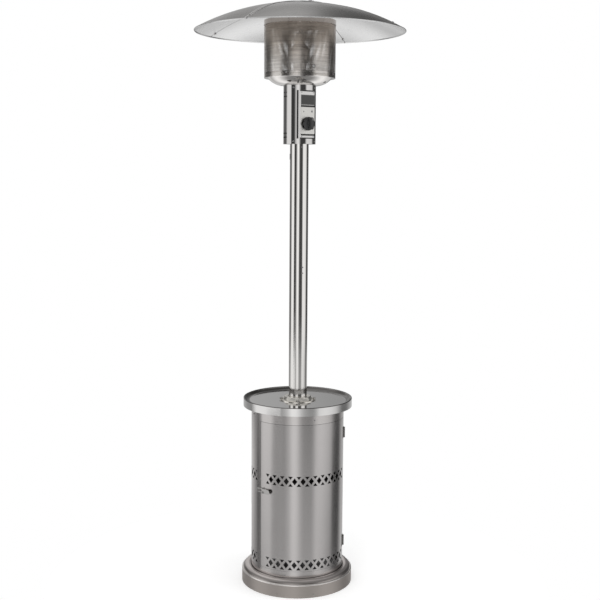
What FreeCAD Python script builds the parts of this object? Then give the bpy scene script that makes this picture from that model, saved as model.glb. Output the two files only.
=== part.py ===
import FreeCAD, Part
import math
import os
import Sketcher

# Free-standing patio heater: a round cylinder housing with a hinged, lattice-vented door,
# a table ring, a two-piece post, a burner head with a control panel, and a petal hood.
# Millimetres, +Z up, origin on the floor under the post, the door's middle faces -Y.
# Pieces round the axis are modelled at the front (-Y) and turned about Z to their place;
# a turn is counted from the front towards +X.

doc = FreeCAD.newDocument("PatioHeater")
vector = FreeCAD.Vector

# Driving sizes, one cell each
driving = {
    # general
    "sheet": 1.2, "seat_gap": 0.3, "running_gap": 0.05,
    # base
    "base_height": 66, "skirt_radius": 221.5, "bead_height": 50, "shoulder_radius": 214.5,
    "shoulder_height": 57, "shoulder_round": 21, "cover_lip_radius": 172, "pan_plate": 3,
    "pan_foot_radius": 216,
    # rear wheels
    "wheel_radius": 30, "wheel_width": 26, "wheel_lift": 4, "axle_radius": 4, "bracket_width": 100,
    "bracket_plate": 2.5, "wheel_reach": 258,
    # housing and door
    "housing_diameter": 368, "collar_bottom": 676, "sill_height": 92, "door_half_angle": 68,
    "door_gap": 1, "door_edge_depth": 9, "door_seam": 1.2,
    # lattice bands
    "lattice_pitch": 10.2, "lattice_angle": 52.8, "lattice_strap": 9.2, "lattice_height": 39.3,
    "lattice_low": 118.5, "lattice_high": 453.5, "door_columns": 12, "shell_columns": 21,
    # supports inside the housing
    "leg_angle": 80, "leg_width": 30, "leg_plate": 3, "leg_foot": 20, "plate_thickness": 2.5,
    "plate_rim": 12, "duct_radius": 28, "frame_bolt": 3,
    # hinges and latch
    "hinge_length": 41, "hinge_low": 144, "hinge_high": 589, "barrel_radius": 3.1, "pin_radius": 1.55,
    "leaf_angle": 5.6, "latch_turn": -60, "latch_height": 402, "latch_wire": 1.25, "lever_length": 42,
    # table
    "table_height": 750, "table_depth": 11, "table_radius": 216.2, "table_band": 32.5, "tray_radius": 190,
    # post
    "post_radius": 36.3, "post_wall": 1.6, "post_joint": 1230, "flange_radius": 70, "collar_radius": 53,
    "flange_bolt": 4, "flange_bolt_circle": 65.5, "flange_bolt_turn": -17, "sleeve_reach": 80,
    # burner head
    "head_bottom": 1748, "head_top": 1971, "head_radius": 62.75, "band_height": 20,
    "panel_turn": 16.5, "panel_half_angle": 40, "panel_rise": 8.2, "panel_half_width": 35.4,
    "panel_plate": 1.5, "knob_height": 1825, "knob_radius": 26, "knob_travel": 5, "stem_radius": 4,
    "fastener_turn": -39.5,
    # burner, bowl and screen
    "bowl_rim": 2000, "bowl_foot_radius": 66, "screen_radius": 137.2, "screen_wall": 0.8,
    "screen_top": 2213, "ring_height": 18, "bowl_wall_radius": 80, "vent_circle": 103,
    "eyelet_turn": 4.6, "eyelet_height": 2035, "eyelet_radius": 5, "burner_radius": 38,
    "burner_neck": 24.5, "burner_crown": 17,
    # hood
    "hood_radius": 406.5, "rim_height": 2177, "hood_rise": 103, "petals": 4, "hood_sheet": 1,
    "rim_bead": 2.2, "cap_radius": 100, "seam_width": 14, "stud_circle": 75, "stud_turn": 15.6,
    "stud_radius": 3, "seam_screw_inset": 23,
}

sheet = doc.addObject("Spreadsheet::Sheet", "Sizes")
for row, (alias, number) in enumerate(driving.items(), start=1):
    sheet.set("A%d" % row, alias.replace("_", " "))
    sheet.set("B%d" % row, str(number))
    sheet.setAlias("B%d" % row, alias)
doc.recompute()


class Size:
    """A number together with the expression that ties it to the sheet."""

    def __init__(self, value, text):
        self.value = float(value)
        self.text = text

    @staticmethod
    def of(thing):
        return thing if isinstance(thing, Size) else Size(thing, "%.10g" % thing)

    def __add__(self, other):
        other = Size.of(other)
        return Size(self.value + other.value, "(%s + %s)" % (self.text, other.text))

    def __sub__(self, other):
        other = Size.of(other)
        return Size(self.value - other.value, "(%s - %s)" % (self.text, other.text))

    def __mul__(self, other):
        other = Size.of(other)
        return Size(self.value * other.value, "(%s * %s)" % (self.text, other.text))

    def __truediv__(self, other):
        other = Size.of(other)
        return Size(self.value / other.value, "(%s / %s)" % (self.text, other.text))

    def __radd__(self, other):
        return Size.of(other) + self

    def __rsub__(self, other):
        return Size.of(other) - self

    def __rmul__(self, other):
        return Size.of(other) * self

    def __rtruediv__(self, other):
        return Size.of(other) / self

    def __neg__(self):
        return Size(0, "0") - self


class Dimensions:
    """The sheet's cells as Size values: dim.head_radius and so on."""

    def __getattr__(self, alias):
        return Size(sheet.get(alias), "Sizes." + alias)


def sine(angle):
    angle = Size.of(angle)
    return Size(math.sin(math.radians(angle.value)), "sin(%s * 1 deg)" % angle.text)


def cosine(angle):
    angle = Size.of(angle)
    return Size(math.cos(math.radians(angle.value)), "cos(%s * 1 deg)" % angle.text)


def root(number):
    return Size(math.sqrt(number.value), "sqrt(%s)" % number.text)


dim = Dimensions()

# Heights and radii that several pieces share
housing_radius = dim.housing_diameter / 2
housing_inner = housing_radius - dim.sheet
pan_top = dim.base_height - dim.sheet
tray_top = dim.table_height - dim.table_depth
tray_bottom = tray_top - dim.sheet
support_bottom = tray_bottom - dim.plate_thickness
hinge_turn = dim.door_half_angle + dim.door_seam / 2 / (housing_radius * math.pi / 180)
hinge_radius = housing_radius + dim.barrel_radius + 0.2
flange_top = tray_top + 3
sleeve_radius = dim.post_radius - dim.post_wall - dim.seat_gap
shell_bottom = dim.head_bottom + dim.band_height
shell_top = dim.head_top - dim.band_height
chord = dim.head_radius * cosine(dim.panel_half_angle)
panel_face = chord + dim.panel_rise
panel_back = panel_face - dim.panel_plate
bowl_floor = dim.head_top + dim.sheet
plate_top = dim.screen_top + 1.5
dome_radius = (dim.hood_radius * dim.hood_radius + dim.hood_rise * dim.hood_rise) / (2 * dim.hood_rise)
dome_centre = dim.rim_height + dim.hood_rise - dome_radius
cap_flat_radius = dim.cap_radius - 15

pieces = []


def set_size(thing, name, size):
    """Give a property its value and tie it to the sheet."""
    size = Size.of(size)
    thing.setExpression(name, size.text)


def stand(piece, turn=0, x=0, y=0, z=0, axis=vector(0, 0, 1)):
    """Turn a piece about an axis and shift it, both tied to the sheet."""
    turn, x, y, z = [Size.of(value) for value in (turn, x, y, z)]
    piece.Placement = FreeCAD.Placement(vector(x.value, y.value, z.value), FreeCAD.Rotation(axis, turn.value))
    for name, size in (("Base.x", x), ("Base.y", y), ("Base.z", z)):
        piece.setExpression("Placement." + name, size.text)
    if turn.value:
        piece.setExpression("Placement.Rotation.Angle", turn.text)


def name_piece(piece, label):
    piece.Label = label
    pieces.append(piece)
    return piece


def new_body(label):
    return name_piece(doc.addObject("PartDesign::Body", label + "_body"), label)


def new_sketch(body, role, turn=0, lift=0):
    """A sketch on one of the body's origin planes, turned about Z and lifted along its normal."""
    plane = [feature for feature in body.Origin.OriginFeatures if feature.Role == role][0]
    sketch = body.newObject("Sketcher::SketchObject", body.Label + "_sketch")
    sketch.AttachmentSupport = [(plane, "")]
    sketch.MapMode = "FlatFace"
    turn, lift = Size.of(turn), Size.of(lift)
    upright = vector(0, 1, 0)
    offset = FreeCAD.Placement(vector(0, 0, lift.value), FreeCAD.Rotation(upright, turn.value))
    sketch.AttachmentOffset = offset
    if turn.value and lift.value:
        across = sine(turn) * lift
        along = cosine(turn) * lift
        sketch.AttachmentOffset = FreeCAD.Placement(vector(across.value, 0, along.value), offset.Rotation)
        sketch.setExpression("AttachmentOffset.Base.x", across.text)
        sketch.setExpression("AttachmentOffset.Base.z", along.text)
    elif lift.value:
        sketch.setExpression("AttachmentOffset.Base.z", lift.text)
    if turn.value:
        sketch.setExpression("AttachmentOffset.Rotation.Angle", turn.text)
    return sketch


def pin_point(sketch, edge, end, x, y):
    """Fix one end of an edge at a point given in Size values."""
    for kind, size in (("DistanceX", x), ("DistanceY", y)):
        index = sketch.addConstraint(Sketcher.Constraint(kind, -1, 1, edge, end, size.value))
        sketch.setExpression("Constraints[%d]" % index, size.text)


def outline(sketch, corners):
    """Draw a closed outline. A corner is (x, y), or (x, y, radius, side) where an arc starts:
    side is 1 for an arc that turns left on the way to the next corner, and -1 for right."""
    count = len(corners)
    spots = [(Size.of(corner[0]), Size.of(corner[1])) for corner in corners]
    edges = []
    for index, corner in enumerate(corners):
        start = vector(spots[index][0].value, spots[index][1].value, 0)
        finish = vector(spots[(index + 1) % count][0].value, spots[(index + 1) % count][1].value, 0)
        if len(corner) == 2:
            edge = sketch.addGeometry(Part.LineSegment(start, finish), False)
            edges.append((edge, 1, 2))
            continue
        radius, side = Size.of(corner[2]), corner[3]
        middle = (start + finish) * 0.5
        along = finish - start
        reach = math.sqrt(max(radius.value ** 2 - (along.Length / 2) ** 2, 0))
        left = vector(-along.y, along.x, 0) * (1 / along.Length)
        centre = middle + left * (side * reach)
        crown = centre - left * (side * radius.value)
        ends = (start, finish) if side > 0 else (finish, start)
        edge = sketch.addGeometry(Part.Arc(ends[0], crown, ends[1]), False)
        edges.append((edge, 1, 2) if side > 0 else (edge, 2, 1))
        if reach > 1e-3 * radius.value:
            mark = sketch.addConstraint(Sketcher.Constraint("Radius", edge, radius.value))
            sketch.setExpression("Constraints[%d]" % mark, radius.text)
            continue
        # a half circle is fixed by its centre instead
        level = 1 if abs(along.x) > abs(along.y) else 0
        half_way = (spots[index][level] + spots[(index + 1) % count][level]) / 2
        kind = ("DistanceX", "DistanceY")[level]
        mark = sketch.addConstraint(Sketcher.Constraint(kind, -1, 1, edge, 3, half_way.value))
        sketch.setExpression("Constraints[%d]" % mark, half_way.text)
    for index in range(count):
        edge, first, last = edges[index]
        following = edges[(index + 1) % count]
        sketch.addConstraint(Sketcher.Constraint("Coincident", edge, last, following[0], following[1]))
        pin_point(sketch, edge, first, *spots[index])
    return sketch


def rectangle(sketch, left, bottom, right, top):
    return outline(sketch, [(left, bottom), (right, bottom), (right, top), (left, top)])


def circle(sketch, x, y, radius):
    x, y, radius = Size.of(x), Size.of(y), Size.of(radius)
    edge = sketch.addGeometry(Part.Circle(vector(x.value, y.value, 0), vector(0, 0, 1), radius.value), False)
    mark = sketch.addConstraint(Sketcher.Constraint("Radius", edge, radius.value))
    sketch.setExpression("Constraints[%d]" % mark, radius.text)
    pin_point(sketch, edge, 3, x, y)
    return sketch


def slot(sketch, x, y, half_length, half_width):
    """A round-ended slot along the sketch's X axis."""
    corners = [(x - half_length, y - half_width), (x + half_length, y - half_width, half_width, 1),
               (x + half_length, y + half_width), (x - half_length, y + half_width, half_width, 1)]
    return outline(sketch, corners)


def revolve(body, sketch, angle=None, axis="V_Axis"):
    """A full turn, or a sector centred on the sketch plane."""
    feature = body.newObject("PartDesign::Revolution", body.Label + "_turn")
    feature.Profile = sketch
    feature.ReferenceAxis = (sketch, [axis])
    feature.Angle = 360
    if angle is not None:
        feature.Midplane = True
        set_size(feature, "Angle", angle)
    doc.recompute()
    return feature


def cut_checked(body, before):
    """A cut has to take something away."""
    doc.recompute()
    if body.Shape.Volume > before - 1e-3:
        raise RuntimeError(body.Label + ": a cut takes nothing away")


def groove(body, sketch, angle):
    before = body.Shape.Volume
    feature = body.newObject("PartDesign::Groove", body.Label + "_groove")
    feature.Profile = sketch
    feature.ReferenceAxis = (sketch, ["V_Axis"])
    feature.Midplane = True
    set_size(feature, "Angle", angle)
    cut_checked(body, before)
    return feature


def pad(body, sketch, length, both_ways=False):
    feature = body.newObject("PartDesign::Pad", body.Label + "_pad")
    feature.Profile = sketch
    feature.SideType = "Symmetric" if both_ways else "One side"
    set_size(feature, "Length", length)
    doc.recompute()
    return feature


def pocket(body, sketch, length, outward=False, both_ways=False):
    """Cut against the sketch's normal, or along it where outward is set."""
    before = body.Shape.Volume
    feature = body.newObject("PartDesign::Pocket", body.Label + "_pocket")
    feature.Profile = sketch
    feature.Reversed = outward
    feature.SideType = "Symmetric" if both_ways else "One side"
    set_size(feature, "Length", length)
    cut_checked(body, before)
    return feature


def polar(body, feature, angle, count):
    pattern = body.newObject("PartDesign::PolarPattern", body.Label + "_ring")
    pattern.Originals = [feature]
    axis = [item for item in body.Origin.OriginFeatures if item.Role == "Z_Axis"][0]
    pattern.Axis = (axis, [""])
    set_size(pattern, "Angle", angle)
    set_size(pattern, "Occurrences", count)
    body.Tip = pattern
    doc.recompute()
    return pattern


def stack(body, features, length, count):
    """Repeat features upwards over a length."""
    pattern = body.newObject("PartDesign::LinearPattern", body.Label + "_stack")
    pattern.Originals = features
    axis = [item for item in body.Origin.OriginFeatures if item.Role == "Z_Axis"][0]
    pattern.Direction = (axis, [""])
    set_size(pattern, "Length", length)
    pattern.Occurrences = count
    body.Tip = pattern
    doc.recompute()
    return pattern


def mirror_sideways(body, features):
    pattern = body.newObject("PartDesign::Mirrored", body.Label + "_mirror")
    pattern.Originals = features
    plane = [item for item in body.Origin.OriginFeatures if item.Role == "YZ_Plane"][0]
    pattern.MirrorPlane = (plane, [""])
    body.Tip = pattern
    doc.recompute()
    return pattern


def turned_piece(label, corners):
    """A piece of revolution about Z from its half section (radius, height)."""
    body = new_body(label)
    revolve(body, outline(new_sketch(body, "XZ_Plane"), corners))
    return body


def tube(label, inner, outer, bottom, top):
    return turned_piece(label, [(inner, bottom), (outer, bottom), (outer, top), (inner, top)])


def ring_holes(body, circle_radius, hole_radius, count, first=0, bottom=0, depth=100):
    """Vertical holes on a circle, cut upwards from a height."""
    sketch = new_sketch(body, "XY_Plane", lift=bottom)
    first = Size.of(first)
    circle(sketch, circle_radius * sine(first), -(circle_radius * cosine(first)), hole_radius)
    cut = pocket(body, sketch, depth, outward=True)
    return polar(body, cut, 360, count)


def bolt_holes(body, bottom):
    """The four holes for the bolts of the post's flange."""
    return ring_holes(body, dim.flange_bolt_circle, dim.flange_bolt + dim.seat_gap, 4, dim.flange_bolt_turn,
                      bottom, 9)


def dome(radius, depth=0):
    """Height of the hood's outer face at a radius, or of a face that lies deeper."""
    shell = dome_radius - depth
    return dome_centre + root(shell * shell - radius * radius)


# Base

def base_pan():
    """Pressed pan: the floor flange, the sloping wall and the plate that the supports stand on."""
    plate = dim.pan_plate
    body = turned_piece("base_pan", [
        (0, pan_top - plate), (dim.cover_lip_radius + 7, pan_top - plate), (dim.pan_foot_radius - 27, 0),
        (dim.pan_foot_radius, 0), (dim.pan_foot_radius, plate), (dim.pan_foot_radius - 24, plate),
        (dim.cover_lip_radius + 10, pan_top), (0, pan_top)])
    for turn in leg_turns():
        leg_holes(body, turn, pan_top - 2 * plate)
    for side in (-1, 1):
        sketch = new_sketch(body, "XY_Plane")
        circle(sketch, side * bracket_bolt_x, bracket_bolt_y, dim.frame_bolt + dim.seat_gap)
        pocket(body, sketch, 2 * plate, outward=True)
    return body


def base_cover():
    """Pressed ring: inner lip, convex shoulder, groove, bead and straight skirt."""
    gauge = dim.sheet
    top = dim.base_height
    shoulder = housing_radius + 2
    body = turned_piece("base_cover", [
        (dim.cover_lip_radius, top - gauge), (shoulder + 0.5, top - gauge, dim.shoulder_round - gauge, -1),
        (dim.shoulder_radius - 1.1, dim.shoulder_height - 0.5),
        (dim.shoulder_radius - 0.6, dim.bead_height + 3.4 - gauge),
        (dim.skirt_radius - 3.4, dim.bead_height + 3.4 - gauge, 2.4, -1),
        (dim.skirt_radius - gauge, dim.bead_height), (dim.skirt_radius - gauge, 0), (dim.skirt_radius, 0),
        (dim.skirt_radius, dim.bead_height, 3.6, 1), (dim.skirt_radius - 3.4, dim.bead_height + 3.4),
        (dim.shoulder_radius + 0.6, dim.bead_height + 3.4),
        (dim.shoulder_radius, dim.shoulder_height, dim.shoulder_round, 1), (shoulder, top),
        (dim.cover_lip_radius, top)])
    notch = new_sketch(body, "XY_Plane")
    half = dim.bracket_width / 2 + 3
    rectangle(notch, -half, dim.shoulder_radius - 21, half, dim.skirt_radius + 8)
    pocket(body, notch, dim.pan_plate + dim.bracket_plate + 2, outward=True)
    return body


# Rear wheels

bracket_bolt_x = dim.bracket_width * 0.3
bracket_bolt_y = dim.pan_foot_radius - 12
axle_height = dim.wheel_radius + dim.wheel_lift
wheel_inner = dim.bracket_width / 2 + dim.seat_gap
wheel_outer = wheel_inner + dim.wheel_width


def wheel_bracket():
    """Floor plate that bolts to the pan's flange, with two cheeks for the axle."""
    body = new_body("wheel_bracket")
    bottom = dim.pan_plate
    half = dim.bracket_width / 2
    floor = new_sketch(body, "XY_Plane", lift=bottom)
    rectangle(floor, -half, dim.pan_foot_radius - 22, half, dim.wheel_reach + 4)
    pad(body, floor, dim.bracket_plate)
    cheek = new_sketch(body, "YZ_Plane", lift=half - dim.bracket_plate)
    reach = dim.wheel_reach
    outline(cheek, [(dim.skirt_radius + 6, bottom), (reach + 4, bottom), (reach + 9, axle_height, 9, 1),
                    (reach - 9, axle_height), (dim.skirt_radius + 6, bottom + 8)])
    side = pad(body, cheek, dim.bracket_plate)
    mirror_sideways(body, [side])
    bore = new_sketch(body, "YZ_Plane")
    circle(bore, reach, axle_height, dim.axle_radius + dim.running_gap)
    pocket(body, bore, dim.bracket_width + 10, both_ways=True)
    for turn in (-1, 1):
        sketch = new_sketch(body, "XY_Plane")
        circle(sketch, turn * bracket_bolt_x, bracket_bolt_y, dim.frame_bolt + dim.seat_gap)
        pocket(body, sketch, 4 * dim.pan_plate, outward=True)
    return body


def cylinder(label, radius, length, axis, turn, x=0, y=0, z=0):
    """A plain round bar along another direction than Z."""
    bar = name_piece(doc.addObject("Part::Cylinder", label + "_bar"), label)
    set_size(bar, "Radius", radius)
    set_size(bar, "Height", length)
    stand(bar, turn, x, y, z, axis)
    return bar


def wheel_axle():
    length = 2 * (wheel_outer + 3)
    return cylinder("wheel_axle", dim.axle_radius, length, vector(0, 1, 0), 90,
                    -(length / 2), dim.wheel_reach, axle_height)


def wheel(label, side):
    """Moulded wheel: hub, web and rounded tread, turned about the axle."""
    body = new_body(label)
    sketch = new_sketch(body, "XY_Plane")
    bore = dim.axle_radius + dim.running_gap
    rim = dim.wheel_radius
    inner, outer = wheel_inner, wheel_outer
    middle = (inner + outer) / 2
    corners = [(inner, bore), (outer, bore), (outer, bore + 5), (middle + 3, bore + 8), (middle + 3, rim - 8),
               (outer - 2, rim - 7), (outer - 2, rim - 2.5), (outer - 4.5, rim), (inner + 4.5, rim),
               (inner + 2, rim - 2.5), (inner + 2, rim - 7), (middle - 3, rim - 8), (middle - 3, bore + 8),
               (inner, bore + 5)]
    outline(sketch, [(side * x, y) for x, y in corners])
    revolve(body, sketch, axis="H_Axis")
    stand(body, 0, 0, dim.wheel_reach, axle_height)
    return body


# Groups of fasteners: separate solids in one piece

def group(label, solids):
    feature = doc.addObject("Part::Feature", label + "_group")
    feature.Shape = Part.makeCompound(solids)
    feature.Placement = FreeCAD.Placement()
    return name_piece(feature, label)


def bar_along(radius, start, direction, length):
    return Part.makeCylinder(radius, length, start, direction)


def hexagon(across, start, direction, length):
    """Hexagonal prism with its width across the flats."""
    corner = across / 2 / math.cos(math.pi / 6)
    turns = [k * math.pi / 3 for k in range(7)]
    points = [vector(corner * math.cos(turn), corner * math.sin(turn), 0) for turn in turns]
    prism = Part.Face(Part.makePolygon(points)).extrude(vector(0, 0, length))
    prism.Placement = FreeCAD.Placement(start, FreeCAD.Rotation(vector(0, 0, 1), direction))
    return prism


def front_turned(shape, turn):
    """Turn a shape that was made at the front round the axis."""
    copy = shape.copy()
    copy.rotate(vector(0, 0, 0), vector(0, 0, 1), turn)
    return copy


def leg_turns():
    return [-dim.leg_angle, dim.leg_angle, Size.of(180)]


leg_bolt_circle = housing_inner - 17.3


def leg_holes(body, turn, bottom):
    """One bolt hole for a support, at its turn."""
    sketch = new_sketch(body, "XY_Plane", lift=bottom)
    x = leg_bolt_circle * sine(turn)
    y = -(leg_bolt_circle * cosine(turn))
    circle(sketch, x, y, dim.frame_bolt + dim.seat_gap)
    pocket(body, sketch, 3 * dim.pan_plate, outward=True)


def frame_bolts():
    """Hexagon bolts of the supports and of the wheel bracket, with their nuts under the pan."""
    radius = dim.frame_bolt.value
    across = 10
    up, down = vector(0, 0, 1), vector(0, 0, -1)
    circle_radius = leg_bolt_circle.value
    foot_top = dim.base_height.value + dim.leg_plate.value
    pan_under = pan_top.value - dim.pan_plate.value
    head_height = 4
    nut_height = 5
    solids = []
    for turn in leg_turns():
        spot = vector(0, -circle_radius, foot_top)
        bolt = hexagon(across, spot, up, head_height)
        bolt = bolt.fuse(bar_along(radius, spot, down, foot_top - pan_under))
        nut = hexagon(across, vector(0, -circle_radius, pan_under), down, nut_height)
        high = vector(0, -circle_radius, support_bottom.value - dim.leg_plate.value)
        reach = tray_bottom.value - high.z
        upper = hexagon(across, high, down, head_height).fuse(bar_along(radius, high, up, reach))
        solids += [front_turned(shape, turn.value) for shape in (bolt, nut, upper)]
    plate_top_height = dim.pan_plate.value + dim.bracket_plate.value
    for side in (-1, 1):
        spot = vector(side * bracket_bolt_x.value, bracket_bolt_y.value, plate_top_height)
        bolt = hexagon(across, spot, up, head_height)
        solids.append(bolt.fuse(bar_along(radius, spot, down, plate_top_height)))
    return group("frame_bolts", solids)


def axle_caps():
    """Push-on caps at both ends of the axle."""
    solids = []
    for side in (-1, 1):
        inner_face = wheel_outer.value + dim.seat_gap.value
        start = vector(side * inner_face, dim.wheel_reach.value, axle_height.value)
        cap = bar_along(dim.axle_radius.value + 3, start, vector(side, 0, 0), 4)
        bore = bar_along(dim.axle_radius.value, start, vector(side, 0, 0), 3 - dim.seat_gap.value)
        solids.append(cap.cut(bore))
    return group("axle_caps", solids)


# Lattice bands: straps crossing in a row of X shapes, cut through a round wall

lattice_run = housing_radius * dim.lattice_pitch * (math.pi / 180)
strap_across = dim.lattice_strap / sine(dim.lattice_angle)
lattice_slope = sine(dim.lattice_angle) / cosine(dim.lattice_angle)
diamond_half_width = (lattice_run - strap_across) / 2
diamond_half_height = diamond_half_width * lattice_slope
triangle_height = (dim.lattice_height - strap_across * lattice_slope) / 2
triangle_half_width = triangle_height / lattice_slope


def lattice(body, columns, middle):
    """Two bands: triangle pairs at each crossing of the straps and diamonds between them."""
    first = middle - (columns - 1) / 2 * dim.lattice_pitch
    depth = housing_radius + 10
    half = dim.lattice_height / 2
    sketch = new_sketch(body, "XZ_Plane", turn=first)
    for height in (dim.lattice_low, dim.lattice_high):
        for side in (1, -1):
            base = height + side * half
            tip = base - side * triangle_height
            corners = [(-triangle_half_width, base), (triangle_half_width, base), (0, tip)]
            outline(sketch, corners if side < 0 else corners[::-1])
    cut = pocket(body, sketch, depth, outward=True)
    polar(body, cut, (columns - 1) * dim.lattice_pitch, columns)
    sketch = new_sketch(body, "XZ_Plane", turn=first + dim.lattice_pitch / 2)
    for height in (dim.lattice_low, dim.lattice_high):
        outline(sketch, [(0, height - diamond_half_height), (diamond_half_width, height),
                         (0, height + diamond_half_height), (-diamond_half_width, height)])
    cut = pocket(body, sketch, depth, outward=True)
    polar(body, cut, (columns - 2) * dim.lattice_pitch, columns - 1)


# Housing

def housing_shell():
    """Rolled cylinder with the doorway left open above its bottom band, and two lattice bands."""
    body = tube("housing_shell", housing_inner, housing_radius, dim.base_height, dim.collar_bottom)
    doorway = new_sketch(body, "YZ_Plane")
    rectangle(doorway, -(housing_radius + 5), dim.sill_height, -(housing_inner - 5), dim.collar_bottom + 5)
    opening = dim.door_half_angle * 2 + 2 * dim.door_seam / (housing_radius * math.pi / 180)
    groove(body, doorway, opening)
    lattice(body, dim.shell_columns, Size.of(180))
    return body


def housing_collar():
    """Plain band between the door and the table, with a turned-in lower lip."""
    lip = housing_inner - 2.8
    return turned_piece("housing_collar", [
        (lip, dim.collar_bottom), (housing_radius, dim.collar_bottom), (housing_radius, tray_bottom),
        (housing_inner, tray_bottom), (housing_inner, dim.collar_bottom + dim.sheet),
        (lip, dim.collar_bottom + dim.sheet)])


def support_leg(label, turn):
    """Bent strip from the pan up to the support plate."""
    body = new_body(label)
    plate = dim.leg_plate
    outer = housing_inner - 3.8
    tip = outer - dim.leg_foot
    bottom, top = dim.base_height, support_bottom
    sketch = new_sketch(body, "YZ_Plane")
    outline(sketch, [(-tip, bottom), (-outer, bottom), (-outer, top), (-tip, top), (-tip, top - plate),
                     (plate - outer, top - plate), (plate - outer, bottom + plate), (-tip, bottom + plate)])
    pad(body, sketch, dim.leg_width, both_ways=True)
    hole = new_sketch(body, "XY_Plane")
    circle(hole, 0, -leg_bolt_circle, dim.frame_bolt + dim.seat_gap)
    pocket(body, hole, dim.table_height, outward=True)
    stand(body, turn)
    return body


def support_plate():
    """Disc under the table with a turned-down rim, which the post is bolted to."""
    outer = housing_inner - dim.seat_gap
    inner = outer - dim.plate_thickness
    body = turned_piece("support_plate", [
        (dim.duct_radius, support_bottom), (inner, support_bottom), (inner, tray_bottom - dim.plate_rim),
        (outer, tray_bottom - dim.plate_rim), (outer, tray_bottom), (dim.duct_radius, tray_bottom)])
    bolt_holes(body, support_bottom - 1)
    for turn in leg_turns():
        leg_holes(body, turn, support_bottom - 1)
    return body




# Door

def door_panel():
    """Curved panel with folded edges all round and two lattice bands."""
    body = new_body("door_panel")
    bottom = dim.sill_height + dim.door_gap / 2
    top = dim.collar_bottom - dim.door_gap
    inner = housing_radius - dim.door_edge_depth
    blank = new_sketch(body, "YZ_Plane")
    rectangle(blank, -housing_radius, bottom, -inner, top)
    revolve(body, blank, dim.door_half_angle * 2)
    hollow = new_sketch(body, "YZ_Plane")
    rectangle(hollow, -housing_inner, bottom + dim.sheet, 5 - inner, top - dim.sheet)
    groove(body, hollow, dim.door_half_angle * 2 - 2 * dim.sheet / (housing_radius * math.pi / 180))
    lattice(body, dim.door_columns, Size.of(0))
    return body


def hinge_leaf(label, side, first, count):
    """Leaf with its knuckles, upright from the body's zero height; side is 1 for the frame's."""
    body = new_body(label)
    knuckles = 5
    pitch = dim.hinge_length / knuckles
    height = pitch - dim.seat_gap
    outer = housing_radius + dim.seat_gap / 3 + dim.sheet
    inner = housing_radius + dim.seat_gap / 3
    start = side * (dim.barrel_radius + 0.6)
    clear = dim.barrel_radius / (housing_radius * math.pi / 180) + 0.25
    leaf = new_sketch(body, "YZ_Plane", turn=side * (clear + dim.leaf_angle / 2))
    rectangle(leaf, -outer, 0, -inner, dim.hinge_length - dim.seat_gap)
    revolve(body, leaf, dim.leaf_angle)
    tab = new_sketch(body, "XY_Plane", lift=first * pitch)
    ends = sorted([side * 0.4, start.value + side * 0.7])
    rectangle(tab, ends[0], -outer + 0.02, ends[1], -inner - 0.02)
    web = pad(body, tab, height)
    round_part = new_sketch(body, "XY_Plane", lift=first * pitch)
    circle(round_part, 0, -hinge_radius, dim.barrel_radius)
    barrel = pad(body, round_part, height)
    stack(body, [web, barrel], 2 * (count - 1) * pitch, count)
    bore = new_sketch(body, "XY_Plane")
    circle(bore, 0, -hinge_radius, dim.pin_radius + dim.running_gap)
    pocket(body, bore, dim.hinge_length, outward=True)
    return body


def hinge_leaves(label, side, first, count):
    """The upper and the lower leaf of one side, as two solids of one piece."""
    leaf = hinge_leaf(label + "_master", side, first, count)
    pieces.remove(leaf)
    solids = []
    for height in (dim.hinge_low, dim.hinge_high):
        copy = leaf.Shape.copy()
        copy.translate(vector(0, 0, height.value))
        solids.append(front_turned(copy, hinge_turn.value))
    return group(label, solids)


def hinge_pins():
    """Headed pins through the knuckles."""
    solids = []
    for height in (dim.hinge_low, dim.hinge_high):
        foot = vector(0, -hinge_radius.value, height.value)
        top = foot + vector(0, 0, dim.hinge_length.value)
        pin = bar_along(dim.pin_radius.value, foot, vector(0, 0, 1), dim.hinge_length.value)
        pin = pin.fuse(bar_along(dim.barrel_radius.value - 0.4, top, vector(0, 0, 1), 1.6))
        solids.append(front_turned(pin, hinge_turn.value))
    return group("hinge_pins", solids)


# Latch, modelled at the front: X runs away from the keeper, -Y outwards, zero height at its middle

latch_pivot_x = Size.of(-11)
latch_pivot_out = Size.of(5.5)
bail_pivot_x = Size.of(-4)
bail_pivot_out = Size.of(4.2)
bail_reach = Size.of(-41)
bail_half_height = Size.of(6.5)
lever_inside = bail_half_height + dim.latch_wire + 0.35
lever_outside = lever_inside + dim.sheet
ear_inside = lever_outside + dim.seat_gap
ear_outside = ear_inside + dim.sheet


def out(distance):
    """Y of a point that lies a distance outside the housing's skin, at the front."""
    return -(housing_radius + distance)


def seat_on_skin(body, clearance):
    """Hollow out the underside of a plate so that it follows the round wall."""
    sketch = new_sketch(body, "XY_Plane", lift=-30)
    circle(sketch, 0, 0, housing_radius + clearance)
    pocket(body, sketch, 60, outward=True)


def latch_base():
    """Base plate with two ears and the rivets that carry the lever."""
    body = new_body("latch_base")
    plate = new_sketch(body, "XZ_Plane", lift=housing_radius - 2)
    rectangle(plate, -16, -ear_outside, 18, ear_outside)
    pad(body, plate, 4)
    ear_corners = [(-15.5, 1), (-6.5, 1), (-6.5, 6), (-8.5, 9), (-13.5, 9), (-15.5, 7)]
    for bottom in (ear_inside, -ear_outside):
        ear = new_sketch(body, "XY_Plane", lift=bottom)
        outline(ear, [(x, out(distance)) for x, distance in ear_corners])
        pad(body, ear, dim.sheet)
    rivet_start, rivet_end = lever_inside + 0.05, ear_outside + 0.8
    for bottom in (rivet_start, -rivet_end):
        rivet = new_sketch(body, "XY_Plane", lift=bottom)
        circle(rivet, latch_pivot_x, out(latch_pivot_out), 1.5)
        pad(body, rivet, rivet_end - rivet_start)
    seat_on_skin(body, 0.1)
    stand(body, dim.latch_turn, z=dim.latch_height)
    return body


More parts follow.
